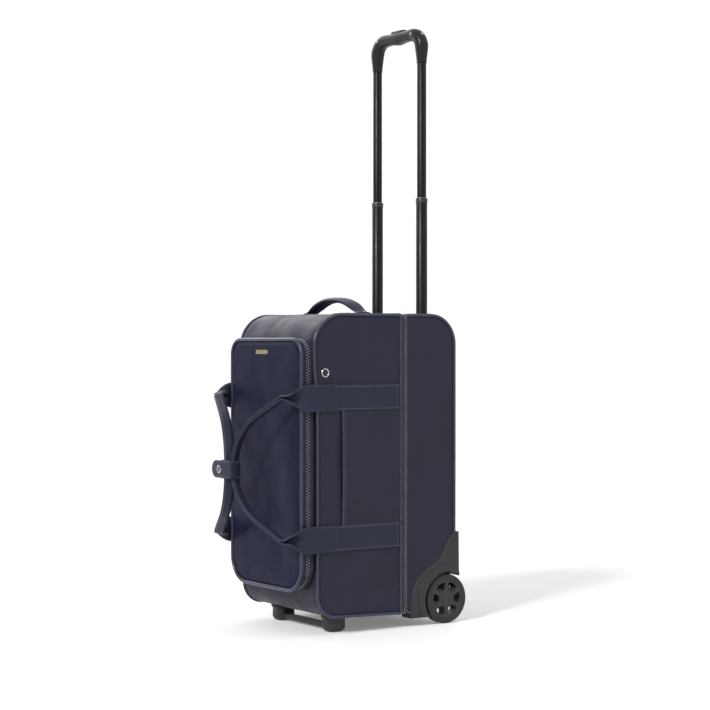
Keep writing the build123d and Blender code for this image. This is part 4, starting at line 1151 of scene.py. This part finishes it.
def make_wheel(side, sign):
    """Tyre, windowed hub, and the housing with its raised arch and inner cup."""
    inner_x, outer_x = WHEEL_LOW.x, WHEEL_HIGH.x
    half = (outer_x - inner_x) / 2
    shoulder = 0.0045
    profile = [(0.0, HUB_RADIUS - 0.0004), (0.0, WHEEL_RADIUS - shoulder)]
    for angle in np.linspace(0, math.pi / 2, 6):
        profile.append((shoulder * (1 - math.cos(angle)), WHEEL_RADIUS - shoulder * (1 - math.sin(angle))))
    for w in (half - 0.0014, half - 0.0010):
        profile.append((w, WHEEL_RADIUS))
    profile += [(half, WHEEL_RADIUS - 0.0007)]
    profile += [(2 * half - w, r) for w, r in reversed(profile[:-1])]
    tyre = turned(f"tyre_ring_{side}", profile, wheel_axes(sign, inner_x), MATERIALS["tyre"], 96)
    finish_piece(tyre, f"wheel_{side}", "tyre", f"tyre_{side}")

    bevel = 0.0009
    rim = arc(HUB_RADIUS - bevel - 0.0002, 0, 2 * math.pi, 97)[:-1]
    windows = []
    window, _ = rounded_polygon(((0.0140, -0.0052), (0.0270, -0.0126), (0.0306, 0.0), (0.0270, 0.0126),
                                 (0.0140, 0.0052)), (0.0030, 0.0040, 0.0120, 0.0040, 0.0030), 0.0012)
    for k in range(6):
        turn = math.radians(60 * k)
        windows.append([(y * math.cos(turn) - z * math.sin(turn), y * math.sin(turn) + z * math.cos(turn))
                        for y, z in window])
    spoked = plate(f"hub_plate_{side}", [rim] + windows, wheel_axes(sign, inner_x + 0.0006),
                   outer_x - inner_x - 0.0012, bevel, MATERIALS["hub"])
    face = outer_x - inner_x
    boss_profile = ((face - 0.004, 0.0001), (face - 0.004, 0.0112), (face + 0.0001, 0.0108),
                    (face + 0.0003, 0.0102), (face + 0.0001, 0.0090), (face - 0.0002, 0.0060),
                    (face - 0.0002, 0.0001))
    boss = turned(f"hub_boss_{side}", boss_profile, wheel_axes(sign, inner_x), MATERIALS["hub"])
    lip_profile = ((face - 0.0022, HUB_RADIUS - 0.0030), (face - 0.0002, HUB_RADIUS - 0.0026),
                   (face + 0.0002, HUB_RADIUS - 0.0018), (face - 0.0002, HUB_RADIUS - 0.0008),
                   (face - 0.0022, HUB_RADIUS - 0.0006))
    lip = turned(f"hub_lip_{side}", lip_profile, wheel_axes(sign, inner_x), MATERIALS["hub"], 96)
    finish_piece(join(f"hub_{side}", [spoked, boss, lip]), f"wheel_{side}", "wheel_plastic",
                 f"wheel_hub_{side}")

    low_z = HOUSING_CURVE[0][1] - WHEEL_Z
    back_y = HOUSING_HIGH.y - WHEEL_Y
    edge = 0.0014
    outline = [(y - WHEEL_Y, z - WHEEL_Z) for y, z in housing_outline()[:-1]]
    start = math.pi + math.asin(-low_z / WELL_RADIUS)
    stop = math.acos(back_y / WELL_RADIUS)
    notch = arc(WELL_RADIUS + edge, start, stop, 48)
    body = plate(f"housing_plate_{side}", [outline + notch], wheel_axes(sign, HOUSING_LOW.x),
                 HOUSING_HIGH.x - HOUSING_LOW.x, edge, MATERIALS["plastic"])
    arch_edge = 0.0010
    arch_start = math.pi + math.asin(-low_z / ARCH_RADIUS)
    arch_stop = math.acos(min(1.0, (back_y - 0.001) / ARCH_RADIUS))
    band = arc(ARCH_RADIUS - arch_edge, arch_stop, arch_start - 0.02, 48) \
        + arc(WELL_RADIUS + 0.0016 + arch_edge, start - 0.02, stop + 0.01, 48)
    arch = plate(f"housing_arch_{side}", [band], wheel_axes(sign, HOUSING_HIGH.x - 0.002), 0.0034, arch_edge,
                 MATERIALS["plastic"])
    cup_low = -0.0112
    cup_start = math.pi + math.asin(-cup_low / WELL_RADIUS)
    cup = plate(f"housing_cup_{side}",
                [arc(WELL_RADIUS + 0.002, cup_start, stop, 48) + [(back_y - 0.001, cup_low)]],
                wheel_axes(sign, HOUSING_LOW.x), 0.0028, 0.0006, MATERIALS["plastic"])
    finish_piece(join(f"housing_{side}", [body, arch, cup]), "rear_section", "moulded_plastic",
                 f"wheel_housing_{side}")


# ---------------------------------------------------------------- foot, grip, handles and fittings
def make_foot():
    """Moulded foot: two rounded pads on flanges, and the bar that joins them."""
    low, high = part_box("front_foot")
    pad_half = Vector((0.016, 0.018))
    pad_x, pad_y = high.x - pad_half.x, (low.y + high.y) / 2
    rounding = 0.009
    parts = []
    for side, sign in SIDES:
        corners = rectangle(-pad_half.x, -pad_half.y, pad_half.x, pad_half.y)
        outline, normals = rounded_polygon(corners, (0.0125,) * 4, 0.002)
        heights = [(rounding * (1 - math.sin(a)), rounding * (1 - math.cos(a)))
                   for a in np.linspace(0, math.pi / 2, 8)]
        levels = [(inset, z) for inset, z in heights]
        levels += [(0.0, 0.022), (-0.0008, 0.0228), (-0.0022, 0.0236), (-0.0022, high.z - 0.0002)]
        stations = []
        for inset, z in levels:
            ring = outline - inset * normals
            stations.append([(sign * pad_x + x, pad_y + y, low.z + z) for x, y in ring])
        parts.append(loft(f"foot_pad_{side}", stations, MATERIALS["plastic"]))
    section, _ = rounded_polygon(rectangle(-0.009, 0.004, 0.009, 0.012), (0.0028,) * 4, 0.001)
    parts.append(loft("foot_bar", [[(x, pad_y + y, low.z + z) for y, z in section]
                                   for x in np.linspace(-pad_x, pad_x, 12)], MATERIALS["plastic"]))
    finish_piece(join("foot_moulding", parts), "front_section", "moulded_plastic", "front_foot")


def make_grip():
    """Pulling grip: a rounded bail that swells at its corners and under the palm, and its button."""
    low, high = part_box("grip")
    tube_x = TUBE_X
    centre_y = (low.y + high.y) / 2
    bar_z = high.z - 0.0100
    bend = 0.026
    path = [(-tube_x, low.z), (-tube_x, bar_z - bend)]
    for angle in np.linspace(math.pi, math.pi / 2, 12)[1:]:
        path.append((-tube_x + bend + bend * math.cos(angle), bar_z - bend + bend * math.sin(angle)))
    path += [(-x, z) for x, z in reversed(path)]
    fine, at = even_steps(np.array([(x, centre_y, z) for x, z in path]), 0.0025)
    total = at[-1]
    stations = []
    for point, along, s in zip(fine, directions(fine), at):
        end = min(s, total - s)
        leg = smoothstep(0.0, 0.034, end)
        palm = smoothstep(0.080, 0.118, end)
        across = np.array((-along[2], 0.0, along[0]))
        half_across = 0.0084 + 0.0029 * leg - 0.0014 * smoothstep(0.05, 0.085, end) + 0.0026 * palm
        half_deep = 0.0084 + 0.0030 * leg
        shift = -0.0012 * palm
        ring = []
        for angle in turns(28):
            c, r = math.cos(angle), math.sin(angle)
            c = signed_power(c, 0.85)
            r = signed_power(r, 0.85)
            ring.append(point + across * (half_across * c + shift) + np.array((0, half_deep * r, 0)))
        stations.append(ring)
    finish_piece(loft("grip_moulding", stations, MATERIALS["grip"]), "upper_stage", "grip_plastic", "grip")
    button_low, button_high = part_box("release_button")
    half_x, half_y = button_high.x, (button_high.y - button_low.y) / 2
    outline, _ = rounded_polygon(rectangle(-half_x, -half_y, half_x, half_y), (half_y * 0.92,) * 4, 0.0012)
    outline = outline * (1 - 0.0018 / half_x)
    axes = upright_axes(0, centre_y, button_high.z - 0.0076)
    cap = plate("release_button_cap", [list(map(tuple, outline))], axes, 0.0070, 0.0016,
                MATERIALS["button"])
    finish_piece(cap, "button", "grip_plastic", "release_button")


def make_tubes():
    """The two sliding stages of the handle as smooth drawn tubes, with a collar and a bright rim."""
    pieces = (("upper_tubes", "upper_stage", "tube_paint", 0.0081, 0.0066, "tube"),
              ("middle_tubes", "middle_stage", "tube_paint", 0.0098, 0.0084, "tube"),
              ("middle_collars", "middle_stage", "moulded_plastic", 0.0103, 0.0084, "plastic"))
    for node, body, slot, outer, inner, finish in pieces:
        low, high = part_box(node)
        centre_y = (low.y + high.y) / 2
        tall = high.z - low.z
        profile = ((0.0, inner), (0.0, outer), (tall - 0.0007, outer), (tall, outer - 0.0006),
                   (tall, inner + 0.0003))
        parts = []
        for side, sign in SIDES:
            axes = upright_axes(sign * TUBE_X, centre_y, low.z)
            parts.append(turned(f"{node}_{side}", profile, axes, MATERIALS[finish], 44))
            if node == "middle_collars":
                rim = ((tall - 0.0006, inner), (tall - 0.0006, outer - 0.0008),
                       (tall + 0.0003, outer - 0.0009), (tall + 0.0003, inner))
                parts.append(turned(f"collar_rim_{side}", rim, axes, MATERIALS["steel"], 44))
        finish_piece(join(f"{node}_drawn", parts), body, slot, node)


def make_carry_handle():
    """Padded top handle: an arch with sewn edges that flattens into a tab at each end."""
    low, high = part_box("carry_handle")
    centre_y = (low.y + high.y) / 2
    tab, reach = high.x - 0.001, high.x - 0.011
    crown = high.z - 0.0046
    base = low.z + 0.0020
    path = [(-tab, centre_y, base), (-reach - 0.002, centre_y, base)]
    for x in np.linspace(-reach, reach, 64):
        path.append((x, centre_y, base + (crown - base) * (1 - abs(x / reach) ** 2.3)))
    path += [(reach + 0.002, centre_y, base), (tab, centre_y, base)]
    fine, at = even_steps(np.array(path), PATH_STEP)
    relax(fine)
    stations, seams, lifts = [], ([], []), []
    for point, along, s in zip(fine, directions(fine), at):
        full = smoothstep(0.010, 0.034, min(s, at[-1] - s))
        half_deep = 0.0128 + 0.0010 * full
        half_high = 0.0017 + 0.0030 * full
        lift = np.array((-along[2], 0.0, along[0]))
        ring = []
        for angle in turns(28):
            c, r = math.cos(angle), math.sin(angle)
            swell = 1 - 0.45 * smoothstep(0.80, 0.95, abs(c))
            ring.append(point + np.array((0, half_deep * signed_power(c, 0.75), 0))
                        + lift * half_high * signed_power(r, 0.7) * swell)
        stations.append(ring)
        for k, side in enumerate((-1, 1)):
            seams[k].append(point + np.array((0, side * half_deep * 0.86, 0)) + lift * half_high * 0.50)
        lifts.append(lift)
    parts = [loft("carry_skin", stations, MATERIALS["strap"])]
    for k in range(2):
        parts.append(stitches(f"carry_stitch_{k}", seams[k], lifts))
    handle = join("carry_handle_strap", parts)
    finish_piece(handle, "front_section", "strap", "carry_handle")


def make_wrap():
    """Snap wrap round both haul handles: the band, the rounded flap and its cap."""
    low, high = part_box("handle_wrap")
    outline, _ = rounded_polygon(rectangle(low.x, low.y, high.x, high.y), (WRAP_RADIUS,) * 4, 0.002)
    middle_z, half = (low.z + high.z) / 2, (high.z - low.z) / 2
    rows = []
    for x, y in outline:
        row = []
        for share in np.linspace(-1, 1, 11):
            pull = 0.0008 * (1 - share**2) * (1 + ripple(x, y, share * 0.01, 0.02, 3.3))
            centre = np.array(((low.x + high.x) / 2, (low.y + high.y) / 2))
            out = (np.array((x, y)) - centre) / np.linalg.norm(np.array((x, y)) - centre)
            row.append((x - pull * out[0], y - pull * out[1], middle_z + share * half))
        rows.append(row)
    centre = ((low.x + high.x) / 2, (low.y + high.y) / 2, middle_z)
    band = shell("wrap_band", rows, MATERIALS["strap"], MATERIALS["strap"], 0.0020, centre=centre,
                 close_rows=True)
    parts = [band]
    for share in (-0.82, 0.82):
        line = [(x, y, middle_z + share * half) for x, y in list(outline) + [outline[0]]]
        outs = [np.array(p) - np.array((centre[0], centre[1], p[2])) for p in line]
        parts.append(stitches(f"wrap_stitch_{share}", line, outs))
    finish_piece(join("handle_wrap_band", parts), "front_section", "strap", "handle_wrap")

    flap_low, flap_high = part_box("wrap_flap")
    tall = flap_high.z - flap_low.z
    end = tall / 2 - 0.0012
    edge = 0.0007
    corners = rectangle(flap_low.x + edge, flap_low.z + edge, flap_high.x - edge, flap_high.z - edge)
    outline, normals = rounded_polygon(corners, (end, 0.0015, 0.0015, end), 0.0015)
    axes = front_axes(0, flap_high.y, 0)
    flap = plate("flap_plate", [list(map(tuple, outline))], axes, flap_high.y - flap_low.y, edge,
                 MATERIALS["strap"])
    inset = outline - 0.0022 * normals
    line = [(x, flap_low.y, z) for x, z in list(inset) + [inset[0]]]
    seam = stitches("flap_stitch", line, [(0, -1, 0)] * len(line))
    finish_piece(join("snap_flap", [flap, seam]), "wrap_flap", "strap", "wrap_flap")

    side_x = high.x + 0.0008
    face_y = (flap_low.y + flap_high.y) / 2 - 0.0007
    hinge_path = smooth_path([(side_x - 0.0003, low.y + 0.0095, 0), (side_x, low.y + 0.0045, 0),
                              (side_x, low.y + 0.0008, 0), (flap_high.x + 0.0010, face_y + 0.0008, 0),
                              (flap_high.x - 0.0005, face_y, 0), (flap_high.x - 0.0035, face_y, 0)], 0.0009)
    rows = [[(x, y, middle_z + share * (tall / 2 - 0.0016)) for x, y, _ in hinge_path]
            for share in np.linspace(-1, 1, 9)]
    hinge = shell("flap_hinge_strip", rows, MATERIALS["strap"], MATERIALS["strap"], STRIP_THICKNESS,
                  centre=centre)
    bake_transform(hinge)
    cap_low, cap_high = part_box("snap_cap")
    cap_x, cap_z = (cap_low.x + cap_high.x) / 2, (cap_low.z + cap_high.z) / 2
    radius = (cap_high.x - cap_low.x) / 2
    depth = flap_low.y - cap_low.y
    axes = front_axes(cap_x, flap_low.y + 0.0003, cap_z)
    ring = turned("cap_ring", [(0.0, radius - 0.0026), (0.0, radius - 0.0002), (depth * 0.5, radius),
                               (depth * 0.95, radius - 0.0010), (depth, radius - 0.0018),
                               (depth * 0.7, radius - 0.0028)], axes, MATERIALS["nickel"], 48)
    dome = turned("cap_dome", [(0.0, 0.0001), (0.0, radius - 0.0022), (depth * 0.55, radius - 0.0026),
                               (depth * 0.85, radius * 0.40), (depth * 0.9, 0.0001)], axes,
                  MATERIALS["gunmetal"], 48)
    finish_piece(join("snap_cap_rings", [ring, dome]), "wrap_flap", "nickel", "snap_cap")


def make_eyelets():
    """Vent eyelets: a rolled ring with fine dark mesh behind it."""
    low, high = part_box("eyelets")
    centre_z = (low.z + high.z) / 2
    centre_y = (low.y + high.y) / 2 - slouch((low.y + high.y) / 2, centre_z)
    radius = (high.z - low.z) / 2
    parts = []
    for side, sign in SIDES:
        axes = ((sign * (HALF_WIDTH + 0.0002), centre_y, centre_z), (0, 1, 0), (0, 0, 1), (sign, 0, 0))
        roll = []
        for angle in turns(12):
            roll.append((0.0007 + 0.0010 * math.sin(angle), radius - 0.0014 + 0.0012 * math.cos(angle)))
        parts.append(turned(f"eyelet_ring_{side}", roll, axes, MATERIALS["nickel"], 48))
        parts.append(turned(f"eyelet_mesh_{side}", [(-0.001, 0.0001), (-0.001, radius - 0.002),
                                                    (0.0005, radius - 0.002), (0.0007, 0.0001)], axes,
                            MATERIALS["tape"], 32))
    finish_piece(join("eyelet_rings", parts), "front_section", "nickel", "eyelets")


# ---------------------------------------------------------------- camera and light
CAMERA_PLACE = (2.591, -1.726, 0.480)
CAMERA_HEADING = (-0.8241, 0.5664)
CAMERA_PITCH = math.radians(-0.38)
CAMERA_LENS = 92.2

FLOOR_REACH = 30
FLOOR_TONES = ((0.3, 0.765), (0.7, 0.775))
SURROUND_TONES = ((0.15, 0.42), (0.62, 1.0))
SURROUND_STRENGTH = 1.08
KEY_DIRECTION = (-0.36, 0.97, -0.64)
KEY_STRENGTH = 3.0
KEY_ANGLE = math.radians(14)
FILL_PLACE = (-2.2, -0.1, 1.7)
FILL_TARGET = (0, 0, 0.35)
FILL_SIZE = 2.2
FILL_POWER = 34


def make_camera():
    """The camera stands in front of the suitcase's right-hand edge, at mid height."""
    data = bpy.data.cameras.new("camera")
    data.lens = CAMERA_LENS
    data.sensor_width = 36
    data.clip_end = 50
    camera = bpy.data.objects.new("camera", data)
    bpy.context.scene.collection.objects.link(camera)
    camera.location = CAMERA_PLACE
    heading = Vector((*CAMERA_HEADING, math.tan(CAMERA_PITCH))).normalized()
    camera.rotation_mode = "QUATERNION"
    camera.rotation_quaternion = heading.to_track_quat("-Z", "Y")
    bpy.context.scene.camera = camera


def area_light(name, place, target, size, power):
    """A soft square light at place, turned to target."""
    data = bpy.data.lights.new(name, "AREA")
    data.shape = "SQUARE"
    data.size = size
    data.energy = power
    light = bpy.data.objects.new(name, data)
    bpy.context.scene.collection.objects.link(light)
    light.location = place
    light.rotation_mode = "QUATERNION"
    light.rotation_quaternion = (Vector(target) - Vector(place)).to_track_quat("-Z", "Y")
    return light


def make_studio():
    """Pale floor, a bright surround that darkens forward of the case, a soft key and a shadowless fill."""
    material, nodes, links, shader, place = new_material("studio_floor")
    tone = ramp(nodes, links, noise_node(nodes, links, place, 3, 2), FLOOR_TONES)
    links.new(tone, shader.inputs["Base Color"])
    shader.inputs["Roughness"].default_value = 0.75
    reach = FLOOR_REACH
    corners = [(u, v, 0) for u, v in rectangle(-reach, -reach, reach, reach)]
    floor = make_object("studio_floor", corners, [(0, 1, 2, 3)])
    floor.data.materials.append(material)
    world = bpy.data.worlds.new("studio")
    world.use_nodes = True
    nodes, links = world.node_tree.nodes, world.node_tree.links
    around = nodes.new("ShaderNodeTexCoord")
    split = nodes.new("ShaderNodeSeparateXYZ")
    links.new(around.outputs["Generated"], split.inputs["Vector"])
    share = nodes.new("ShaderNodeMapRange")
    share.inputs["From Min"].default_value = -1.0
    links.new(split.outputs["Y"], share.inputs["Value"])
    tone = ramp(nodes, links, share.outputs["Result"], SURROUND_TONES)
    links.new(tone, nodes["Background"].inputs["Color"])
    nodes["Background"].inputs["Strength"].default_value = SURROUND_STRENGTH
    bpy.context.scene.world = world
    bpy.context.scene.view_settings.view_transform = "Standard"
    sun = bpy.data.lights.new("key", "SUN")
    sun.energy = KEY_STRENGTH
    sun.angle = KEY_ANGLE
    key = bpy.data.objects.new("key", sun)
    bpy.context.scene.collection.objects.link(key)
    key.rotation_mode = "QUATERNION"
    key.rotation_quaternion = Vector(KEY_DIRECTION).to_track_quat("-Z", "Y")
    fill = area_light("softbox_left", FILL_PLACE, FILL_TARGET, FILL_SIZE, FILL_POWER)
    fill.data.use_shadow = False


make_camera()
finish_kept_nodes()
make_body()
make_main_zip()
make_pocket()
for side, sign in SIDES:
    make_haul_handle(side, sign)
    make_wheel(side, sign)
make_side_straps()
make_slip_pockets()
make_foot()
make_tubes()
make_grip()
make_carry_handle()
make_wrap()
make_eyelets()
make_studio()
